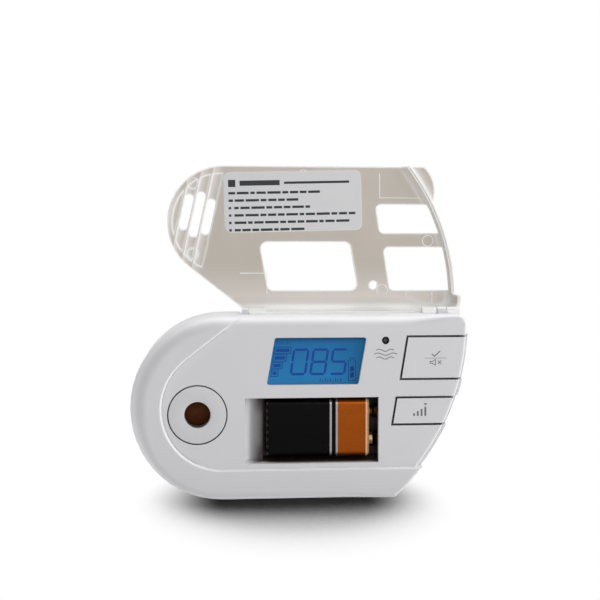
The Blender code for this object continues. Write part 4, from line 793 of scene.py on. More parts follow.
class Finishes:
    """The finishes of this alarm, by piece."""

    # Spark-eroded shell: plain cool white, with painted light making rounded edges paler, painted
    # brown-black shade in the deep wells and painted dark shade in narrow gaps.
    WHITE = MouldedPlastic("White ABS, spark-eroded", "D2D1D4", 0.42, Slot.WHITE, shade="CECDCF",
                           rim_painted_light="F2F2F4", hollows=(
                               PaintedShade("3A2B22", 9 * MM, (0.4, 0.94), (
                                   End("Z", -26.6 * MM, -27.6 * MM), End("Z", 5 * MM, 7 * MM),
                                   End("X", -18.5 * MM, -23.5 * MM), End("X", 39 * MM, 42 * MM),
                                   End("Y", -37 * MM, -39 * MM))),
                               PaintedShade("16100E")))

    # Button caps from a finer, slightly glossier mould: the same white with a softer highlight, painted
    # light on rounded edges and painted dark shade in the gap round them.
    BUTTON = MouldedPlastic("White ABS, fine satin", "D2D1D4", 0.36, Slot.BUTTON, shade="CFCED1",
                            rim_painted_light="F0F0F2", grain=0.3 * MM, depth=0.003 * MM, hollows=(PaintedShade("16100E"),))

    # The sound port's own moulding: a touch greyer, with painted light on its edges, painted dark brown
    # shade down its bore and painted dark shade in its gap.
    RING = MouldedPlastic("White ABS, sound port", "CCCCCE", 0.4, Slot.WHITE, shade="C9C9CB",
                          rim_painted_light="ECECEE", hollows=(
                              PaintedShade("2A1A12", 9 * MM, (0.7, 0.98), (End("Y", -39.0 * MM, -39.8 * MM),)),
                              PaintedShade("20140F")))

    # Small inner mouldings: near black, matt, with a dull broad highlight.
    BLACK = MouldedPlastic("Black ABS, moulded", "232325", 0.5, Slot.BLACK, shade="1E1E20")

    # The cover: grey-beige where seen flat; its edges, walls and hinge are painted nearly white as light,
    # and its edges get a painted glow.
    MILKY = MilkyPlastic("Smoky translucent styrene", "CCC3B8", 0.34, Slot.MILKY, shade="C4BAAF",
                         rim_painted_light="E8E1DA", hinge_rise=42 * MM)

    # Fine raised mould lines, polished by the mould; painted light makes them whiter than the sheet they
    # stand on, with a faint painted glow.
    WITNESS = MilkyPlastic("Styrene with a polished mould line", "FBFAF8", 0.3, Slot.MILKY, shade="F6F4F1",
                           rim_painted_light="FBFAF8", clearness=0.0, painted_edge_glow=0.15)

    # Label stock: plain pale grey-white with a faint film sheen.
    PAPER = CoatedPaper("Coated white label paper", "D2D2D3", 0.5, Slot.PAPER, shade="CDCDCF")

    # Printed label blocks: dark grey and dead matt.
    RULE_INK = Print("Dark grey label ink", "3E3E40", 0.5, Slot.PAPER)

    # Marks on the buttons and under the lamp: mid grey, thin and flat.
    MARK_INK = Print("Grey pad-print ink", "6A6A6D", 0.45, Slot.BUTTON)

    # Switched-on segments: dark blue on the lit pane.
    SEGMENT_INK = Print("Dark blue display segments", "1B4796", 0.5, Slot.DISPLAY)

    # Fixed signs on the pane: a deeper, greyer blue.
    SIGN_INK = Print("Deep blue display signs", "143F7E", 0.5, Slot.DISPLAY)

    # Screws: cool, slightly clouded zinc.
    ZINC = SheetMetal("Zinc-plated screw steel", "BDBDB8", 0.3, Slot.STEEL, shade="A9A9A6")

    # Hinge pins: bright warm nickel, ground across.
    STEEL = SheetMetal("Nickel-plated steel", "E2E1DE", 0.28, Slot.STEEL, shade="D4D2CE", lines=(1, 0.2, 1))

    # Sensor cans: silver grey with faint draw lines along their depth.
    TIN = SheetMetal("Drawn tin can", "C6C6C8", 0.25, Slot.STEEL, shade="B4B4B8", lines=(1, 0.1, 1))

    # Crimped base edge of the battery: burnt black with a dull gleam.
    CRIMP = SheetMetal("Blackened crimp steel", "2E2A2A", 0.4, Slot.JACKET, shade="201C1C")

    # Snap terminals: nickel, with a painted reflection of the copper band beside it in its warm colour.
    TERMINAL = SheetMetal("Nickel-plated snap terminal", "B0906C", 0.35, Slot.STEEL, shade="86684A")

    # Spring contacts: worn brass strip, rolled upward.
    CONTACT = SheetMetal("Tarnished brass spring strip", "A98A58", 0.34, Slot.BRASS, shade="7E6238",
                         lines=(1, 1, 0.2))

    # The sounder's disc, deep in its port: brass painted dark brown as the shade there, with just a glint.
    BRASS = SheetMetal("Brass disc in painted shade", "4E2C1A", 0.5, Slot.BRASS, shade="452616", lines=(0.2, 1, 1))

    # Display contact strips: flat mid grey with no shine.
    RUBBER = MouldedPlastic("Grey conductive rubber", "8A8A8C", 0.75, Slot.ELASTOMER, shade="7C7C80")

    # The sheet behind the display: pale, cool and half clear.
    GUIDE = ClearPlastic("Frosted acrylic light guide", "E4EEF6", 0.35, Slot.LIGHT_GUIDE, clearness=0.4)

    # The status lamp, off: almost black, with one sharp highlight.
    LENS = ClearPlastic("Smoky lamp lens", "2A2A2C", 0.12, Slot.LENS, clearness=0.15)

    # The sounder's ceramic face: chalky warm white.
    CERAMIC = MouldedPlastic("Fired ceramic disc", "D9D6CE", 0.55, Slot.CERAMIC, shade="CBC7BC")

    # Capacitor sleeves: dark blue film with a soft shine.
    SLEEVE = MouldedPlastic("Shrunk vinyl sleeve", "22304F", 0.3, Slot.SLEEVE, shade="1B2743")

    # The supply module: mid blue, satin.
    MODULE = MouldedPlastic("Blue potting case", "2E4E7E", 0.45, Slot.MODULE, shade="294570")

    # The circuit board: glossy green, with its tracks a little paler.
    BOARD = SolderMask("Green solder mask", "1F6B3A", 0.35, Slot.BOARD, track="4E9A62")


# ---------------------------------------------------------------- meshes

# The least share of a line's width that a mitre reaches across, the distance within which corners are
# one, and the angle in degrees up to which neighbouring faces count as flat.
SHARPEST_MITRE = 0.5
WELD = 0.002 * MM
FLAT_ANGLE = 0.4


def box(node: str) -> Box:
    """Returns the lowest and highest corner of a CAD node at rest."""
    low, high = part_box(node)
    return Vector(low), Vector(high)


def centre(node: str) -> Vector:
    """Returns the middle of a CAD node's box."""
    low, high = box(node)
    return (low + high) / 2


def place_mesh(name: str, shape: bmesh.types.BMesh, finish: Finish, smooth: float = 35) -> bpy.types.Object:
    """Turns a finished bmesh into an object at the origin.

    Args:
        name: The piece's name.
        shape: The bmesh, which is used up.
        finish: The piece's finish.
        smooth: The angle in degrees above which an edge stays sharp.

    Returns:
        The new object.
    """
    mesh = bpy.data.meshes.new(name)
    shape.to_mesh(mesh)
    shape.free()
    mesh.shade_smooth()
    mesh.set_sharp_from_angle(angle=math.radians(smooth))
    mesh.materials.append(finish.material())
    made = bpy.data.objects.new(name, mesh)
    bpy.context.scene.collection.objects.link(made)
    return made


def extrude(shape: bmesh.types.BMesh, outline: Iterable[Sequence[float]], near: float,
            far: float) -> None:
    """Adds a prism that stands on an (x, z) outline and runs along Y.

    Args:
        shape: The bmesh that gets the prism.
        outline: Corners in order round the outline.
        near: The Y of its front face.
        far: The Y of its back face.
    """
    corners = list(outline)
    front = [shape.verts.new((x, near, z)) for x, z in corners]
    back = [shape.verts.new((x, far, z)) for x, z in corners]
    count = len(corners)
    faces = [shape.faces.new(front), shape.faces.new(back)]
    for i in range(count):
        j = (i + 1) % count
        faces.append(shape.faces.new((front[i], front[j], back[j], back[i])))
    bmesh.ops.recalc_face_normals(shape, faces=faces)


def band(shape: bmesh.types.BMesh, path: Sequence[tuple[float, float]], width: float, near: float,
         far: float, closed: bool = False) -> None:
    """Adds a flat printed line of one width along an (x, z) path, with mitred corners.

    Args:
        shape: The bmesh that gets the line.
        path: The line's middle, corner by corner.
        width: Its width.
        near: The Y of its front face.
        far: The Y of its back face.
        closed: Whether its end joins its start.
    """
    points = [Vector(p) for p in path]
    count = len(points)
    sides = []
    for i, point in enumerate(points):
        before = (point - points[i - 1]).normalized() if i or closed else None
        after = (points[(i + 1) % count] - point).normalized() if i < count - 1 or closed else None
        first, second = before or after, after or before
        along = (first + second).normalized()
        across = Vector((-along.y, along.x))
        reach = width / 2 / max(SHARPEST_MITRE, across.dot(Vector((-first.y, first.x))))
        sides.append((point + across * reach, point - across * reach))
    for i in range(count if closed else count - 1):
        start, end = sides[i], sides[(i + 1) % count]
        extrude(shape, [start[0], end[0], end[1], start[1]], near, far)


def refined(node: str, name: str, finish: Finish, bevel: float = 0.0, sharp: float = 32,
            segments: int = 2) -> bpy.types.Object:
    """Makes a welded, softly shaded copy of a CAD node, with eased edges.

    Args:
        node: The CAD node.
        name: The piece's name.
        finish: Its finish.
        bevel: The width of the easing on its sharp edges, or 0 for none.
        sharp: The angle in degrees above which an edge counts as sharp.
        segments: How many steps the easing has.

    Returns:
        The new object.
    """
    shape = bmesh.new()
    shape.from_mesh(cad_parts[node].data)
    bmesh.ops.remove_doubles(shape, verts=shape.verts[:], dist=WELD)
    bmesh.ops.dissolve_limit(shape, angle_limit=math.radians(FLAT_ANGLE), verts=shape.verts[:],
                             edges=shape.edges[:])
    made = place_mesh(name, shape, finish, sharp)
    if bevel:
        ease = made.modifiers.new("ease", "BEVEL")
        ease.width = bevel
        ease.segments = segments
        ease.limit_method = "ANGLE"
        ease.angle_limit = math.radians(sharp)
        ease.harden_normals = True
        ease.use_clamp_overlap = True
    level = made.modifiers.new("even shading", "WEIGHTED_NORMAL")
    level.keep_sharp = True
    return made


def settle(piece: bpy.types.Object, body: Body, finish: Finish, *stands_for: str) -> None:
    """Puts a piece on its body and says which CAD nodes it stands for.

    Args:
        piece: The finished piece.
        body: The body that it rides on.
        finish: The piece's finish; not used.
        stands_for: CAD nodes that it replaces.
    """
    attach(piece, body.value)
    if stands_for:
        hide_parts(*stands_for)
    LOG.info("%s rides on %s, for %s", piece.name, body.value, ", ".join(stands_for) or "no node")


def dress_node(node: str, finish: Finish) -> None:
    """Gives a CAD node that stays its finish.

    Args:
        node: The CAD node.
        finish: Its finish.
    """
    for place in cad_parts[node].material_slots:
        place.material = finish.material()
    LOG.info("%s keeps its CAD mesh in %s", node, finish.title)


# ---------------------------------------------------------------- Geometry Nodes

class GeometryTree:
    """A Geometry Nodes tree that is built step by step and then makes one plain piece."""

    def __init__(self, name: str) -> None:
        """Starts the tree with its geometry input and output.

        Args:
            name: What the tree makes.
        """
        self.tree = bpy.data.node_groups.new(name, "GeometryNodeTree")
        self.tree.is_modifier = True
        for way in ("INPUT", "OUTPUT"):
            self.tree.interface.new_socket("Geometry", in_out=way, socket_type="NodeSocketGeometry")
        self.inlet = self.tree.nodes.new("NodeGroupInput")
        self.outlet = self.tree.nodes.new("NodeGroupOutput")
        self.values: dict[str, float] = {}

    def size(self, name: str, value: float) -> bpy.types.NodeSocket:
        """Adds a named size.

        Args:
            name: What the size is called in the modifier.
            value: Its value in metres, degrees or steps.

        Returns:
            The socket that carries it.
        """
        kind = "NodeSocketInt" if isinstance(value, int) else "NodeSocketFloat"
        made = self.tree.interface.new_socket(name, in_out="INPUT", socket_type=kind)
        self.values[made.identifier] = value
        return self.inlet.outputs[name]

    def put(self, kind: str, settings: dict[str, Any] | None = None,
            sockets: dict[Any, Any] | None = None) -> bpy.types.Node:
        """Adds one node, as put() does."""
        return put(self.tree, kind, settings, sockets)

    def make(self, geometry: bpy.types.Node, name: str, finish: Finish,
             paths: Iterable[Sequence[Point]] = (), smooth: float = 35) -> bpy.types.Object:
        """Ends the tree, runs it on a set of paths and keeps the result as a plain mesh.

        Args:
            geometry: The node that has made it.
            name: The piece's name.
            finish: Its finish.
            paths: The paths that the tree starts from, each a row of joined points or one point alone.
            smooth: The angle in degrees above which an edge stays sharp.

        Returns:
            The plain piece.
        """
        real = self.put("GeometryNodeRealizeInstances", {}, {"Geometry": geometry})
        values = {"Geometry": real, "Material": finish.material()}
        wire(self.tree, self.outlet, {0: self.put("GeometryNodeSetMaterial", {}, values)})
        corners: list[tuple[float, ...]] = []
        edges: list[tuple[int, int]] = []
        for path in paths:
            start = len(corners)
            corners.extend(tuple(p) for p in path)
            edges.extend((i, i + 1) for i in range(start, len(corners) - 1))
        seed = bpy.data.meshes.new(name + "_points")
        seed.from_pydata(corners, edges, [])
        maker = bpy.data.objects.new(name + "_maker", seed)
        bpy.context.scene.collection.objects.link(maker)
        modifier = maker.modifiers.new("tree", "NODES")
        modifier.node_group = self.tree
        for identifier, value in self.values.items():
            modifier[identifier] = value
        depsgraph = bpy.context.evaluated_depsgraph_get()
        mesh = bpy.data.meshes.new_from_object(maker.evaluated_get(depsgraph), depsgraph=depsgraph)
        bpy.data.objects.remove(maker)
        bpy.data.meshes.remove(seed)
        mesh.name = name
        mesh.shade_smooth()
        mesh.set_sharp_from_angle(angle=math.radians(smooth))
        made = bpy.data.objects.new(name, mesh)
        bpy.context.scene.collection.objects.link(made)
        return made


# ---------------------------------------------------------------- sub-assemblies

@dataclass
class Housing:
    """The two-part moulded case with its hinge pins, rear screws and supply socket.

    The height of the blades that cut the screws' crosses, and their lift, are counted in dome heights.
    """

    edge: float = 0.25 * MM
    screws: int = 4
    dome_height: float = 0.9 * MM
    dome_segments: int = 32
    dome_rings: int = 16
    recess_width: float = 0.75 * MM
    recess_reach: float = 3.0 * MM
    blade_height: float = 4.0
    blade_lift: float = 2.6

    def build(self) -> None:
        """Builds and settles every piece of the case."""
        for node, name in (("front_shell", "front_shell_moulding"), ("rear_cover", "rear_cover_moulding")):
            piece = refined(node, name, Finishes.WHITE, self.edge)
            settle(piece, Body.HOUSING, Finishes.WHITE, node)
        settle(self.screw_heads(), Body.HOUSING, Finishes.ZINC)
        for i in range(1, self.screws + 1):
            dress_node(f"case_screw_{i}", Finishes.ZINC)
            dress_node(f"board_screw_{i}", Finishes.ZINC)
        dress_node("hinge_pin_left", Finishes.STEEL)
        dress_node("hinge_pin_right", Finishes.STEEL)
        dress_node("power_inlet", Finishes.BLACK)

    def screw_heads(self) -> bpy.types.Object:
        """Makes the four domed heads with cross recesses that cap the rear screws.

        Returns:
            One piece with all four heads.
        """
        low, high = box("case_screw_1")
        tree = GeometryTree("Cross-recess screw heads")
        wide = tree.size("Head radius", (high.x - low.x) / 2)
        tall = tree.size("Dome height", self.dome_height)
        slot = tree.size("Recess width", self.recess_width)
        reach = tree.size("Recess reach", self.recess_reach)
        height = tree.size("Blade height in domes", self.blade_height)
        rise = tree.size("Blade lift in domes", self.blade_lift)
        values = {"Segments": tree.size("Dome segments", self.dome_segments),
                  "Rings": tree.size("Dome rings", self.dome_rings), "Radius": 1.0}
        dome = tree.put("GeometryNodeMeshUVSphere", {}, values)
        twice = tree.put("ShaderNodeMath", {"operation": "MULTIPLY"}, {0: tall, 1: 2.0})
        size = tree.put("ShaderNodeCombineXYZ", {}, {"X": wide, "Y": twice, "Z": wide})
        stood = tree.put("GeometryNodeTransform", {}, {"Geometry": dome, "Rotation": UPRIGHT})
        head = tree.put("GeometryNodeTransform", {}, {"Geometry": stood, "Scale": size})
        deep = tree.put("ShaderNodeMath", {"operation": "MULTIPLY"}, {0: tall, 1: height})
        out = tree.put("ShaderNodeMath", {"operation": "MULTIPLY"}, {0: tall, 1: rise})
        lift = tree.put("ShaderNodeCombineXYZ", {}, {"Y": out})
        cross = tree.put("GeometryNodeMeshBoolean", {"operation": "UNION", "solver": "EXACT"})
        for x, z in ((reach, slot), (slot, reach)):
            sides = tree.put("ShaderNodeCombineXYZ", {}, {"X": x, "Y": deep, "Z": z})
            blade = tree.put("GeometryNodeMeshCube", {}, {"Size": sides})
            values = {"Geometry": blade, "Translation": lift}
            wire(tree.tree, cross, {"Mesh 2": tree.put("GeometryNodeTransform", {}, values)})
        cut = tree.put("GeometryNodeMeshBoolean", {"operation": "DIFFERENCE", "solver": "EXACT"},
                       {"Mesh 1": head, "Mesh 2": cross})
        values = {"Points": tree.inlet, "Instance": cut}
        heads = tree.put("GeometryNodeInstanceOnPoints", {}, values)
        points = []
        for i in range(1, self.screws + 1):
            low, high = box(f"case_screw_{i}")
            points.append([((low.x + high.x) / 2, high.y - self.dome_height, (low.z + high.z) / 2)])
        return tree.make(heads, "rear_screw_heads", Finishes.ZINC, points)


@dataclass
class Cover:
    """The clip-over cover with its label and the marks that moulding leaves on its inner face.

    The header's blocks give their left and lower edges, counted from the left margin and down from the
    head line, and their widths and heights; a width of 0 runs on to header_end. The rings and beads give
    places from the cover's upper left corner. A row's end is a share of half the label's width.
    """

    edge: float = 0.3 * MM
    louvre_start: tuple[float, float] = (-2.6 * MM, -23 * MM)
    round_middle: tuple[float, float] = (11.3 * MM, -27 * MM)
    label_edge: float = 0.05 * MM
    label_tilt: float = 1.4
    label_margin: float = 2.2 * MM
    label_head: float = 4.6 * MM
    header_end: float = 3.5 * MM
    row_head: float = 6.4 * MM
    row_height: float = 1.15 * MM
    row_pitch: float = 3.5 * MM
    row_indent: float = 2.6 * MM
    first_bullet: int = 2
    word_gap: float = 0.8 * MM
    print_lift: float = 0.02 * MM
    ring_radius: float = 2.6 * MM
    bead: float = 0.22 * MM
    bead_lift: float = 0.15 * MM
    bead_flatness: float = 0.2
    ring_steps: int = 36
    bead_steps: int = 6

    HEADER = ((0.0, 2.9, 3.4, 3.4), (5.4, 2.4, 19.0, 2.4), (26.5, 1.9, 0.0, 1.1))
    ROW_ENDS = (0.35, -0.05, 0.2, 0.95, 0.9, 0.1)
    WORDS = (3.2, 5.6, 2.1, 4.4, 6.3, 2.8, 3.9)
    RINGS = ((12.1, 8.3), (64.3, 4.4), (124.5, 35.3), (102.4, 58.9), (11.8, 41.5))
    BEADS = (((34.2, 50.8), (47.0, 50.8), (47.0, 65.6)),
             ((101.0, 3.2), (101.1, 14.8), (124.0, 14.8), (119.6, 3.2)),
             ((113.8, 59.0), (113.8, 67.0)), ((126.6, 59.0), (126.6, 67.0)))

    def build(self) -> None:
        """Builds and settles every piece of the cover."""
        top = box("cover")[1].z
        port = centre("horn_cap")
        louvre, middle = self.louvre_start, self.round_middle
        milky = replace(Finishes.MILKY, louvre=(port.x + louvre[0], 0, top + louvre[1]),
                        round_end=(port.x + middle[0], 0, top + middle[1]))
        settle(refined("cover", "cover_moulding", milky, self.edge), Body.COVER, milky, "cover")
        label = refined("cover_label", "cover_label_paper", Finishes.PAPER, self.label_edge)
        settle(label, Body.COVER, Finishes.PAPER, "cover_label")
        settle(self.label_print(), Body.COVER, Finishes.RULE_INK)
        settle(self.ejector_rings(), Body.COVER, Finishes.WITNESS)
        settle(self.witness_beads(), Body.COVER, Finishes.WITNESS)

    def blocks(self) -> list[tuple[float, float, float, float]]:
        """Lays out a generic header and rows of plain blocks in place of any wording.

        Returns:
            Each block's left and lower edge from the label's middle, and its width and height.
        """
        low, high = box("cover_label")
        half = (high.x - low.x) / 2 - self.label_margin
        top = (high.z - low.z) / 2 - self.label_head
        laid = []
        for left, drop, width, height in self.HEADER:
            reach = width * MM or 2 * half - left * MM - self.header_end
            laid.append((-half + left * MM, top - drop * MM, reach, height * MM))
        word = 0
        for row, row_end in enumerate(self.ROW_ENDS):
            foot = top - self.row_head - row * self.row_pitch
            left = -half
            if row >= self.first_bullet:
                laid.append((left, foot, self.row_height, self.row_height))
                left += self.row_indent
            while left < half * row_end:
                width = self.WORDS[word % len(self.WORDS)] * MM
                laid.append((left, foot, width, self.row_height))
                left += width + self.word_gap
                word += 1
        return laid

    def label_print(self) -> bpy.types.Object:
        """Makes the label's print from its blocks, a little tilted.

        Returns:
            The print as one piece.
        """
        face = box("cover_label")[0].y
        middle = centre("cover_label")
        turn = Matrix.Rotation(math.radians(self.label_tilt), 2)
        shape = bmesh.new()
        for left, foot, width, height in self.blocks():
            corners = ((left, foot), (left + width, foot), (left + width, foot + height),
                       (left, foot + height))
            spun = [turn @ Vector(p) for p in corners]
            extrude(shape, [(middle.x + p.x, middle.z + p.y) for p in spun], face - self.print_lift, face)
        return place_mesh("cover_label_print", shape, Finishes.RULE_INK)

    def ejector_rings(self) -> bpy.types.Object:
        """Makes the thin witness rings that the ejector pins leave on the inner face.

        Returns:
            The rings as one piece.
        """
        low, high = box("cover")
        inner = box("cover_label")[1].y + self.bead_lift
        tree = GeometryTree("Ejector pin rings")
        values = {"Radius": tree.size("Ring radius", self.ring_radius),
                  "Resolution": tree.size("Ring steps", self.ring_steps)}
        ring = tree.put("GeometryNodeCurvePrimitiveCircle", {}, values)
        values = {"Radius": tree.size("Line radius", self.bead),
                  "Resolution": tree.size("Line steps", self.bead_steps)}
        section = tree.put("GeometryNodeCurvePrimitiveCircle", {}, values)
        body = tree.put("GeometryNodeCurveToMesh", {}, {"Curve": ring, "Profile Curve": section})
        values = {"X": 1.0, "Y": 1.0, "Z": tree.size("Flatness", self.bead_flatness)}
        squeeze = tree.put("ShaderNodeCombineXYZ", {}, values)
        flat = tree.put("GeometryNodeTransform", {}, {"Geometry": body, "Scale": squeeze})
        stood = tree.put("GeometryNodeTransform", {}, {"Geometry": flat, "Rotation": UPRIGHT})
        values = {"Points": tree.inlet, "Instance": stood}
        rings = tree.put("GeometryNodeInstanceOnPoints", {}, values)
        points = [[(low.x + x * MM, inner, high.z - z * MM)] for x, z in self.RINGS]
        return tree.make(rings, "cover_ejector_rings", Finishes.WITNESS, points)

    def witness_beads(self) -> bpy.types.Object:
        """Makes the fine beads that the mould's inserts leave round the snap pads.

        Returns:
            The beads as one piece.
        """
        low, high = box("cover")
        inner = box("cover_label")[1].y + self.bead_lift
        tree = GeometryTree("Mould insert beads")
        path = tree.put("GeometryNodeMeshToCurve", {}, {"Mesh": tree.inlet})
        values = {"Radius": tree.size("Line radius", self.bead),
                  "Resolution": tree.size("Line steps", self.bead_steps)}
        section = tree.put("GeometryNodeCurvePrimitiveCircle", {}, values)
        values = {"Curve": path, "Profile Curve": section, "Fill Caps": True}
        body = tree.put("GeometryNodeCurveToMesh", {}, values)
        values = {"X": 1.0, "Y": tree.size("Flatness", self.bead_flatness), "Z": 1.0}
        squeeze = tree.put("ShaderNodeCombineXYZ", {}, values)
        values = {"Geometry": body, "Scale": squeeze,
                  "Translation": (0, (1 - self.bead_flatness) * inner, 0)}
        flat = tree.put("GeometryNodeTransform", {}, values)
        paths = [[(low.x + x * MM, inner, high.z - z * MM) for x, z in run] for run in self.BEADS]
        return tree.make(flat, "cover_witness_beads", Finishes.WITNESS, paths)


@dataclass
class Display:
    """The lit display pane with its figures, level bars and battery sign, and what carries it.

    SIGN and FILLS are corners counted from sign_place. A row of TICKS gives its start, counted from the
    pane's lower left corner, its height and how many it has.
    """

    figures: str = "085"
    lean: float = 0.143
    pane_edge: float = 0.15 * MM
    figure_height: float = 10.9 * MM
    figure_width: float = 6.4 * MM
    figure_pitch: float = 8.8 * MM
    figure_left: float = 12.9 * MM
    figure_bottom: float = 6.6 * MM
    stroke: float = 1.05 * MM
    joint: float = 0.12 * MM
    hairline: float = 0.28 * MM
    film: float = 0.03 * MM
    bars: int = 4
    bar_pitch: float = 3.4 * MM
    bar_height: float = 1.55 * MM
    bar_left: float = 6.2 * MM
    bar_top: float = 7.7 * MM
    longest: float = 6.1 * MM
    shortest: float = 1.8 * MM
    frame_margin: float = 0.65 * MM
    sign_place: tuple[float, float] = (38.9 * MM, 3.5 * MM)
    tick_pitch: float = 1.15 * MM
    short_tick: float = 0.6

    SEGMENTS = {"0": "abcdef", "1": "bc", "2": "abged", "3": "abgcd", "4": "fgbc", "5": "afgcd",
                "6": "afgedc", "7": "abc", "8": "abcdefg", "9": "abcdfg"}
    SIGN = ((0, 0), (3.2, 0), (3.2, 8.8), (2.4, 8.8), (2.4, 10.1), (0.8, 10.1), (0.8, 8.8), (0, 8.8))
    FILLS = (((0.75, 1.1), (2.45, 1.6), (2.45, 3.9), (0.75, 3.4)),
             ((0.75, 3.9), (2.45, 4.4), (2.45, 6.7), (0.75, 6.2)))
    TICKS = ((6.8, 19.9, 1.5, 6), (26.0, 3.0, 1.6, 9))

    def build(self) -> None:
        """Builds and settles every piece of the display."""
        low, high = box("lcd_glass")
        # Blue-lit glass: an even glowing blue that deepens to the right, with a painted shadow under the top
        # bezel.
        glass = LitDisplay("Blue-lit display pane", "1C6193", 0.4, Slot.DISPLAY, low="1F6A9C", high="175785",
                           far_side="12547F", bezel_shadow="0F3F66", middle=tuple((low + high) / 2),
                           size=tuple(high - low))
        pane = refined("lcd_glass", "display_pane", glass, self.pane_edge)
        settle(pane, Body.HOUSING, glass, "lcd_glass")
        settle(self.digits(low), Body.HOUSING, Finishes.SEGMENT_INK)
        settle(self.signs(low, high), Body.HOUSING, Finishes.SIGN_INK)
        settle(self.level_bars(low, high), Body.HOUSING, Finishes.SEGMENT_INK)
        for node, finish in (("lcd_backlight", Finishes.GUIDE), ("lcd_holder", Finishes.WHITE),
                             ("lcd_contact_low", Finishes.RUBBER), ("lcd_contact_high", Finishes.RUBBER),
                             ("status_led", Finishes.LENS), ("led_spacer", Finishes.BLACK)):
            dress_node(node, finish)

    def segment(self, key: str) -> list[tuple[float, float]]:
        """Gives one segment's outline in an upright cell.

        Args:
            key: The segment's usual letter, a to g.

        Returns:
            Six corners as (x, z), from the cell's lower left corner.
        """
        w, h, t = self.figure_width, self.figure_height, self.stroke
        ends = {"a": ((0, h), (w, h)), "b": ((w, h), (w, h / 2)), "c": ((w, h / 2), (w, 0)),
                "d": ((0, 0), (w, 0)), "e": ((0, 0), (0, h / 2)), "f": ((0, h / 2), (0, h)),
                "g": ((0, h / 2), (w, h / 2))}[key]
        start, end = Vector(ends[0]), Vector(ends[1])
        along = (end - start).normalized()
        start, end = start + along * self.joint, end - along * self.joint
        side = Vector((-along.y, along.x)) * t / 2
        inset = along * t / 2
        return [tuple(p) for p in (start, start + inset + side, end - inset + side, end,
                                   end - inset - side, start + inset - side)]

    def digits(self, low: Vector) -> bpy.types.Object:
        """Makes the three leaning seven-segment figures.

        Args:
            low: The pane's lowest corner.

        Returns:
            The figures as one piece.
        """
        shape = bmesh.new()
        floor = low.z + self.figure_bottom
        for i, figure in enumerate(self.figures):
            left = low.x + self.figure_left + i * self.figure_pitch
            for key in self.SEGMENTS[figure]:
                outline = [(left + x + self.lean * z, floor + z) for x, z in self.segment(key)]
                extrude(shape, outline, low.y - self.film, low.y)
        return place_mesh("display_figures", shape, Finishes.SEGMENT_INK)

    def signs(self, low: Vector, high: Vector) -> bpy.types.Object:
        """Makes the hairline boxes round the level bars, the battery sign and two rows of scale ticks.

        Args:
            low: The pane's lowest corner.
            high: Its highest corner.

        Returns:
            The signs as one piece.
        """
        shape = bmesh.new()
        near = low.y - self.film
        left, top, margin = low.x + self.bar_left, high.z - self.bar_top, self.frame_margin
        for i in range(self.bars):
            length = self.longest + (self.shortest - self.longest) * i / (self.bars - 1)
            drop = -i * self.bar_pitch
            under, over = drop - self.bar_height / 2 - margin, drop + self.bar_height / 2 + margin
            frame_corners = ((-margin, under), (length + margin, under), (length + margin, over),
                             (-margin, over))
            corners = [(left + x + self.lean * z, top + z) for x, z in frame_corners]
            band(shape, corners, self.hairline, near, low.y, closed=True)
        left, foot = low.x + self.sign_place[0], low.z + self.sign_place[1]
        case = [(left + x * MM, foot + z * MM) for x, z in self.SIGN]
        band(shape, case, self.hairline, near, low.y, closed=True)
        for fill in self.FILLS:
            extrude(shape, [(left + x * MM, foot + z * MM) for x, z in fill], near, low.y)
        for across, up, height, count in self.TICKS:
            for i in range(count):
                x, z = low.x + across * MM + i * self.tick_pitch, low.z + up * MM
                tall = height * MM * (1.0 if i % 2 == 0 else self.short_tick)
                band(shape, [(x, z), (x + self.lean * tall, z + tall)], self.hairline, near, low.y)
        return place_mesh("display_signs", shape, Finishes.SIGN_INK)

    def level_bars(self, low: Vector, high: Vector) -> bpy.types.Object:
        """Makes the stack of level bars, which get shorter downward.

        Args:
            low: The pane's lowest corner.
            high: Its highest corner.

        Returns:
            The bars as one piece.
        """
        tree = GeometryTree("Display level bars")
        count = tree.size("Bars", self.bars)
        pitch = tree.size("Pitch", self.bar_pitch)
        longest = tree.size("Longest bar", self.longest)
        shortest = tree.size("Shortest bar", self.shortest)
        lean = tree.size("Lean", self.lean)
        index = tree.put("GeometryNodeInputIndex")
        gaps = tree.put("ShaderNodeMath", {"operation": "SUBTRACT"}, {0: count, 1: 1.0})
        share = tree.put("ShaderNodeMath", {"operation": "DIVIDE"}, {0: index, 1: gaps})
        change = tree.put("ShaderNodeMath", {"operation": "SUBTRACT"}, {0: shortest, 1: longest})
        part = tree.put("ShaderNodeMath", {"operation": "MULTIPLY"}, {0: share, 1: change})
        length = tree.put("ShaderNodeMath", {"operation": "ADD"}, {0: longest, 1: part})
        down = tree.put("ShaderNodeMath", {"operation": "MULTIPLY"}, {0: pitch, 1: -1.0})
        drop = tree.put("ShaderNodeMath", {"operation": "MULTIPLY"}, {0: index, 1: down})
        leaned = tree.put("ShaderNodeMath", {"operation": "MULTIPLY"}, {0: drop, 1: lean})
        half = tree.put("ShaderNodeMath", {"operation": "MULTIPLY"}, {0: length, 1: 0.5})
        across = tree.put("ShaderNodeMath", {"operation": "ADD"}, {0: leaned, 1: half})
        spot = tree.put("ShaderNodeCombineXYZ", {}, {"X": across, "Z": drop})
        row = tree.put("GeometryNodeMeshLine", {}, {"Count": count, "Offset": (0, 0, 0)})
        spread = tree.put("GeometryNodeSetPosition", {}, {"Geometry": row, "Position": spot})
        bar = tree.put("GeometryNodeMeshCube", {}, {"Size": (1, 1, 1)})
        values = {"X": length, "Y": tree.size("Film thickness", self.film),
                  "Z": tree.size("Bar height", self.bar_height)}
        sides = tree.put("ShaderNodeCombineXYZ", {}, values)
        values = {"Points": spread, "Instance": bar, "Scale": sides}
        bars = tree.put("GeometryNodeInstanceOnPoints", {}, values)
        start = (low.x + self.bar_left, low.y - self.film / 2, high.z - self.bar_top)
        moved = tree.put("GeometryNodeTransform", {}, {"Geometry": bars, "Translation": start})
        return tree.make(moved, "display_level_bars", Finishes.SEGMENT_INK)


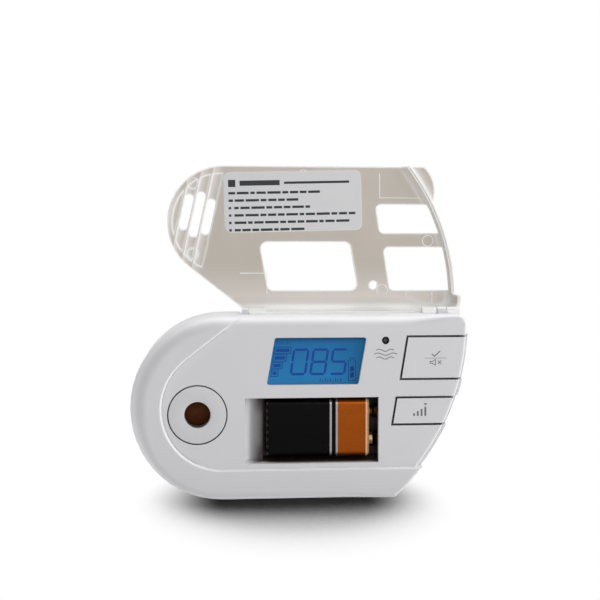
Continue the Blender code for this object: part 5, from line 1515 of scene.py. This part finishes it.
@dataclass
class Controls:
    """The two push buttons with their pictograms, the lamp's caption, and the switches behind them.

    TEST_LINES are the tick, the rule, the speaker and its cross, each as a width, whether it closes, and
    its points from test_place. AIR_SPANS give each line's start beside the lamp, and its length.
    """

    edge: float = 0.3 * MM
    edge_steps: int = 3
    inset: float = 0.14 * MM
    print_lift: float = 0.02 * MM
    test_place: tuple[float, float] = (17.3 * MM, -11.0 * MM)
    peak_place: tuple[float, float] = (10.9 * MM, 4.9 * MM)
    peak_bars: int = 4
    peak_pitch: float = 1.7 * MM
    peak_width: float = 0.8 * MM
    peak_low: float = 1.2 * MM
    peak_rise: float = 0.95 * MM
    air_width: float = 0.32 * MM
    air_steps: int = 24
    air_top: float = 4.4 * MM
    air_pitch: float = 1.75 * MM
    air_wave: float = 0.5 * MM
    air_turns: float = 1.5

    TEST_LINES = ((0.45, False, ((-1.9, 1.9), (-0.6, 0.8), (2.0, 3.2))),
                  (0.16, False, ((-5.0, 0.0), (5.0, 0.0))),
                  (0.32, True, ((-2.6, -2.3), (-1.6, -2.3), (-0.2, -3.2), (-0.2, -0.6), (-1.6, -1.5),
                                (-2.6, -1.5))),
                  (0.32, False, ((0.9, -2.7), (2.5, -1.1))),
                  (0.32, False, ((0.9, -1.1), (2.5, -2.7))))
    PEAK_TIP = ((5.5, 4.6), (6.3, 5.7), (4.7, 5.7))
    AIR_SPANS = ((-4.2, 8.0), (-5.2, 10.4), (-4.2, 8.0))

    def build(self) -> None:
        """Builds and settles the buttons and their marks and dresses the switches."""
        for node, body in (("test_button", Body.TEST), ("peak_button", Body.PEAK)):
            cap = refined(node, node + "_cap", Finishes.BUTTON, self.edge, segments=self.edge_steps)
            self.draw_in(cap)
            settle(cap, body, Finishes.BUTTON, node)
        settle(self.test_mark(), Body.TEST, Finishes.MARK_INK)
        settle(self.peak_mark(), Body.PEAK, Finishes.MARK_INK)
        settle(self.air_mark(), Body.HOUSING, Finishes.MARK_INK)
        dress_node("test_switch", Finishes.BLACK)
        dress_node("peak_switch", Finishes.BLACK)

    def draw_in(self, cap: bpy.types.Object) -> None:
        """Draws a cap in from its opening, so that the gap round it shows as a full dark line.

        Args:
            cap: The cap's own copy of the node.
        """
        low, high = box(cap.name.removesuffix("_cap"))
        for vertex in cap.data.vertices:
            for axis in (0, 2):
                half = (high[axis] - low[axis]) / 2
                share = (vertex.co[axis] - low[axis]) / half - 1
                vertex.co[axis] -= share * self.inset

    def test_mark(self) -> bpy.types.Object:
        """Makes a tick over a rule over a muted speaker.

        Returns:
            The mark as one piece.
        """
        low, high = box("test_button")
        x, z = low.x + self.test_place[0], high.z + self.test_place[1]
        shape = bmesh.new()
        for width, closed, path in self.TEST_LINES:
            points = [(x + across * MM, z + up * MM) for across, up in path]
            band(shape, points, width * MM, low.y - self.print_lift, low.y, closed)
        return place_mesh("test_button_mark", shape, Finishes.MARK_INK)

    def peak_mark(self) -> bpy.types.Object:
        """Makes four rising bars with a marker over the highest.

        Returns:
            The mark as one piece.
        """
        low = box("peak_button")[0]
        left, foot = low.x + self.peak_place[0], low.z + self.peak_place[1]
        forms = []
        for i in range(self.peak_bars):
            start, top = i * self.peak_pitch, self.peak_low + i * self.peak_rise
            end = start + self.peak_width
            forms.append([(start, 0.0), (end, 0.0), (end, top), (start, top)])
        forms.append([(x * MM, z * MM) for x, z in self.PEAK_TIP])
        shape = bmesh.new()
        for form in forms:
            outline = [(left + x, foot + z) for x, z in form]
            extrude(shape, outline, low.y - self.print_lift, low.y)
        return place_mesh("peak_button_mark", shape, Finishes.MARK_INK)

    def air_mark(self) -> bpy.types.Object:
        """Makes three drifting air lines under the lamp.

        Returns:
            The mark as one piece.
        """
        panel = box("peak_button")[0].y
        lamp = centre("status_led")
        shape = bmesh.new()
        for row, (start, length) in enumerate(self.AIR_SPANS):
            level = lamp.z - self.air_top - self.air_pitch * row
            path = []
            for i in range(self.air_steps + 1):
                share = i / self.air_steps
                wave = self.air_wave * math.sin(share * math.tau * self.air_turns)
                path.append((lamp.x + (start + length * share) * MM, level + wave))
            band(shape, path, self.air_width, panel - self.print_lift, panel)
        return place_mesh("lamp_air_mark", shape, Finishes.MARK_INK)


@dataclass
class Horn:
    """The round sound port and the sounder behind it."""

    edge: float = 0.3 * MM
    edge_steps: int = 3
    hole_radius: float = 5.8 * MM
    flange_width: float = 2.2 * MM
    flange_thickness: float = 1.2 * MM
    neck_wall: float = 1.4 * MM
    panel_wall: float = 2.3 * MM
    steps: int = 96

    def build(self) -> None:
        """Builds and settles the port and dresses the sounder's pieces."""
        settle(self.port_ring(), Body.HOUSING, Finishes.RING, "horn_cap")
        dress_node("horn_chamber", Finishes.BLACK)
        dress_node("horn_spacer", Finishes.BLACK)
        dress_node("piezo_disc", Finishes.BRASS)
        dress_node("piezo_ceramic", Finishes.CERAMIC)

    def port_ring(self) -> bpy.types.Object:
        """Turns the port's section round its axis: the flush disc, its flange and its neck.

        Returns:
            The ring as one piece.
        """
        low, high = box("horn_cap")
        spot = centre("horn_cap")
        tree = GeometryTree("Turned sound port")
        hole = tree.size("Hole radius", self.hole_radius)
        steps = tree.size("Steps", self.steps)
        edge = tree.size("Edge rounding", self.edge)
        edge_steps = tree.size("Edge steps", self.edge_steps)
        wide = (high.x - low.x) / 2 - self.hole_radius
        disc, deep = wide - self.flange_width, high.y - low.y
        back = self.panel_wall + self.flange_thickness
        section = [(0, 0), (disc, 0), (disc, self.panel_wall), (wide, self.panel_wall), (wide, back),
                   (self.neck_wall, back), (self.neck_wall, deep), (0, deep)]
        line = tree.put("GeometryNodeMeshToCurve", {}, {"Mesh": tree.inlet})
        closed = tree.put("GeometryNodeSetSplineCyclic", {}, {"Geometry": line, "Cyclic": True})
        values = {"Curve": closed, "Radius": edge, "Count": edge_steps}
        rounded = tree.put("GeometryNodeFilletCurve", {"mode": "POLY"}, values)
        turn = tree.put("GeometryNodeCurvePrimitiveCircle", {}, {"Resolution": steps, "Radius": hole})
        swept = tree.put("GeometryNodeCurveToMesh", {}, {"Curve": turn, "Profile Curve": rounded})
        values = {"Geometry": swept, "Translation": (spot.x, low.y, spot.z), "Rotation": UPRIGHT}
        laid = tree.put("GeometryNodeTransform", {}, values)
        path = [(x, y, 0.0) for x, y in section]
        return tree.make(laid, "horn_port_ring", Finishes.RING, [path])


@dataclass
class Battery:
    """The 9 V block with its plates and snap terminals, and the housing's two spring contacts."""

    edge: float = 0.35 * MM
    teeth: int = 8
    teeth_margin: float = 2 * MM
    tooth_width: float = 1.3 * MM
    tooth_reach: float = 0.9 * MM
    tooth_thickness: float = 0.35 * MM
    tooth_overhang: float = 0.1 * MM
    tooth_sink: float = 0.05 * MM

    def build(self) -> None:
        """Builds and settles the battery and dresses its plates and contacts."""
        settle(self.crimp_teeth(), Body.BATTERY, Finishes.CRIMP)
        low, high = box("battery_case")
        # Lacquered steel: satin black, two thin stripes and a coppery end, with a painted highlight along
        # its rolled end.
        jacket = PrintedJacket("Lacquered battery jacket", "040304", 0.3, Slot.JACKET, end="84400F",
                               stripe="8F8A8B", lip_painted_highlight="E8B98C", start_x=low.x, length=high.x - low.x)
        wrapped = refined("battery_case", "battery_jacket", jacket, self.edge)
        settle(wrapped, Body.BATTERY, jacket, "battery_case")
        for pole in ("positive", "negative"):
            dress_node(f"battery_{pole}_terminal", Finishes.TERMINAL)
            dress_node(f"battery_contact_{pole}", Finishes.CONTACT)
        dress_node("battery_base_plate", Finishes.BLACK)
        dress_node("battery_terminal_plate", Finishes.BLACK)

    def crimp_teeth(self) -> bpy.types.Object:
        """Makes the row of small tabs that crimps the base plate to the jacket.

        Returns:
            The teeth as one piece.
        """
        low, high = box("battery_case")
        tree = GeometryTree("Base plate crimp teeth")
        span = high.z - low.z - 2 * self.teeth_margin
        count = tree.size("Teeth", self.teeth)
        pitch = tree.size("Pitch", span / (self.teeth - 1))
        values = {"X": tree.size("Reach", self.tooth_reach),
                  "Y": tree.size("Thickness", self.tooth_thickness),
                  "Z": tree.size("Width", self.tooth_width)}
        size = tree.put("ShaderNodeCombineXYZ", {}, values)
        step = tree.put("ShaderNodeCombineXYZ", {}, {"Z": pitch})
        row = tree.put("GeometryNodeMeshLine", {}, {"Count": count, "Offset": step})
        tooth = tree.put("GeometryNodeMeshCube", {}, {"Size": size})
        teeth = tree.put("GeometryNodeInstanceOnPoints", {}, {"Points": row, "Instance": tooth})
        start = (low.x + self.tooth_reach / 2 - self.tooth_overhang,
                 low.y - self.tooth_thickness / 2 + self.tooth_sink, low.z + self.teeth_margin)
        moved = tree.put("GeometryNodeTransform", {}, {"Geometry": teeth, "Translation": start})
        return tree.make(moved, "battery_crimp_teeth", Finishes.CRIMP)


@dataclass
class Electronics:
    """The circuit board and the components on its back."""

    def build(self) -> None:
        """Dresses the board and its components."""
        for node, finish in (("circuit_board", Finishes.BOARD), ("co_sensor", Finishes.TIN),
                             ("gas_sensor", Finishes.TIN), ("capacitor_1", Finishes.SLEEVE),
                             ("capacitor_2", Finishes.SLEEVE), ("microcontroller", Finishes.BLACK),
                             ("power_module", Finishes.MODULE)):
            dress_node(node, finish)


# ---------------------------------------------------------------- studio

@dataclass(frozen=True)
class Softbox:
    """One soft rectangular lamp: its middle, the point that it faces, its sides and its power in watts."""

    title: str
    place: Point
    aim: Point
    sides: Span
    power: float

    def build(self) -> None:
        """Adds the lamp to the scene."""
        lamp = bpy.data.lights.new(self.title, "AREA")
        lamp.shape = "RECTANGLE"
        lamp.size, lamp.size_y = self.sides
        lamp.energy = self.power
        made = bpy.data.objects.new(self.title, lamp)
        bpy.context.scene.collection.objects.link(made)
        made.location = self.place
        made.rotation_euler = (Vector(self.aim) - Vector(self.place)).to_track_quat("-Z", "Y").to_euler()


@dataclass
class Studio:
    """The pale floor, the soft boxes, the white surroundings and the camera.

    The floor carries a painted shadow for the camera: its sky is the open shares of the sky at which its
    darkest and its palest tone shows. Its fade is where, in spreads from the shadow's middle, the paper
    starts to turn plain white and where it is.
    """

    softboxes: tuple[Softbox, ...] = (
        Softbox("front softbox", (0.25, -1.5, 0.3), (0, 0, 0.02), (1.2, 0.8), 5.9),
        Softbox("side softbox", (1.3, -0.5, 0.5), (0, 0, 0.02), (0.8, 0.8), 8.0),
        Softbox("top softbox", (0.15, 0.2, 1.15), (0, 0, 0), (1.2, 0.8), 8.8))
    camera_place: Point = (-42.2 * MM, -512.7 * MM, 66.2 * MM)
    camera_yaw: float = 5.0
    camera_pitch: float = 2.22
    camera_lens: float = 64.3
    camera_start: float = 10 * MM
    ambient: float = 0.24
    floor_span: float = 12.0
    floor_roughness: float = 0.7
    floor_sheen: float = 0.1
    # Painted shadow: the floor's darkest tone, shown to the camera where little of the sky is open.
    floor_painted_shadow: str = "101010"
    floor_pale: str = "FDFDFD"
    floor_sky: Span = (0.595, 0.95)
    floor_fade: Span = (0.5, 1.1)
    shadow_reach: float = 140 * MM
    shadow_middle: Point = (-4 * MM, -42 * MM, 0)
    shadow_spread: Point = (64 * MM, 92 * MM, 1)

    def build(self) -> None:
        """Sets up everything that isn't part of the alarm."""
        self.floor()
        self.surroundings()
        for lamp in self.softboxes:
            lamp.build()
        self.camera()

    def floor(self) -> None:
        """Lays the plain pale floor that the alarm stands on."""
        half, level = self.floor_span / 2, CAD_BOX[0][2]
        corners = [(-half, -half, level), (half, -half, level), (half, half, level), (-half, half, level)]
        mesh = bpy.data.meshes.new("studio_floor")
        mesh.from_pydata(corners, [], [(0, 1, 2, 3)])
        mesh.materials.append(self.paper())
        made = bpy.data.objects.new("studio_floor", mesh)
        bpy.context.scene.collection.objects.link(made)

    def seen(self, tree: bpy.types.NodeTree) -> bpy.types.Node:
        """Adds the share of rays that show a plain white: the camera's, and those by gloss and glass.

        Args:
            tree: The tree of the material or world.

        Returns:
            The node that gives it.
        """
        ray = put(tree, "ShaderNodeLightPath")
        shown = ray.outputs["Is Camera Ray"]
        for kind in ("Is Glossy Ray", "Is Transmission Ray"):
            values = {0: shown, 1: ray.outputs[kind]}
            shown = put(tree, "ShaderNodeMath", {"operation": "MAXIMUM"}, values)
        return shown

    def paper(self) -> bpy.types.Material:
        """Makes the floor's matt paper, with a painted shadow under the alarm for the camera, fading to
        white far off.

        Returns:
            The floor's material.
        """
        # Uncoated background paper: dead matt and even. Besides the lamps' real shadow, the camera sees a
        # painted shadow near the alarm.
        made = bpy.data.materials.new("Matt white background paper")
        made.use_nodes = True
        tree = made.node_tree
        shader = tree.nodes["Principled BSDF"]
        # Painted shadow: where little of the sky is open the camera sees a darker tone, while other rays see
        # the pale paper.
        open_sky = put(tree, "ShaderNodeAmbientOcclusion", {"samples": 16}, {"Distance": self.shadow_reach})
        values = {"Value": open_sky.outputs["AO"], "From Min": self.floor_sky[0],
                  "From Max": self.floor_sky[1]}
        share = put(tree, "ShaderNodeMapRange", SMOOTH, values)
        values = {0: 1.0, 1: put(tree, "ShaderNodeLightPath").outputs["Is Camera Ray"]}
        bounce = put(tree, "ShaderNodeMath", {"operation": "SUBTRACT"}, values)
        pale = put(tree, "ShaderNodeMath", {"operation": "MAXIMUM"}, {0: share, 1: bounce})
        values = {"Factor": pale, FIRST: self.floor_painted_shadow, SECOND: self.floor_pale}
        tone = put(tree, "ShaderNodeMix", COLOURS, values).outputs[MIXED]
        wire(tree, shader, {"Base Color": tone, "Roughness": self.floor_roughness,
                            "Specular IOR Level": self.floor_sheen})
        values = {"Vector": put(tree, "ShaderNodeTexCoord").outputs["Object"],
                  "Location": self.shadow_middle, "Scale": self.shadow_spread}
        spread = put(tree, "ShaderNodeMapping", TEXTURE, values)
        reach = put(tree, "ShaderNodeVectorMath", {"operation": "LENGTH"}, {0: spread})
        values = {"Value": reach.outputs["Value"], "From Min": self.floor_fade[0],
                  "From Max": self.floor_fade[1]}
        away = put(tree, "ShaderNodeMapRange", SMOOTH, values)
        shown = put(tree, "ShaderNodeMath", {"operation": "MULTIPLY"}, {0: self.seen(tree), 1: away})
        white = put(tree, "ShaderNodeEmission", {}, {"Color": "FFFFFF", "Strength": 1.0})
        mix = put(tree, "ShaderNodeMixShader", {}, {0: shown, 1: shader, 2: white})
        wire(tree, tree.nodes["Material Output"], {"Surface": mix})
        return made

    def surroundings(self) -> None:
        """Makes the world white to the camera and in reflections, and a plain soft fill elsewhere."""
        world = bpy.data.worlds.new("White studio")
        world.use_nodes = True
        bpy.context.scene.world = world
        tree = world.node_tree
        fill = tree.nodes["Background"]
        wire(tree, fill, {"Color": "FFFFFF", "Strength": self.ambient})
        white = put(tree, "ShaderNodeBackground", {}, {"Color": "FFFFFF", "Strength": 1.0})
        mix = put(tree, "ShaderNodeMixShader", {}, {0: self.seen(tree), 1: fill, 2: white})
        wire(tree, tree.nodes["World Output"], {"Surface": mix})

    def camera(self) -> None:
        """Adds the camera at the viewing angle, a little left of the middle and above it."""
        lens = bpy.data.cameras.new("camera")
        lens.lens = self.camera_lens
        lens.clip_start = self.camera_start
        made = bpy.data.objects.new("camera", lens)
        made.location = self.camera_place
        made.rotation_euler = (math.radians(90 - self.camera_pitch), 0, math.radians(-self.camera_yaw))
        bpy.context.scene.collection.objects.link(made)
        bpy.context.scene.camera = made


def main() -> None:
    """Builds every sub-assembly and the studio."""
    logging.basicConfig(level=logging.INFO, format="%(name)s: %(message)s")
    bpy.context.scene.view_settings.view_transform = "Standard"
    for part in (Housing(), Cover(), Display(), Controls(), Horn(), Battery(), Electronics()):
        LOG.info("building %s", type(part).__name__)
        part.build()
    Studio().build()


if __name__ == "__main__":
    main()
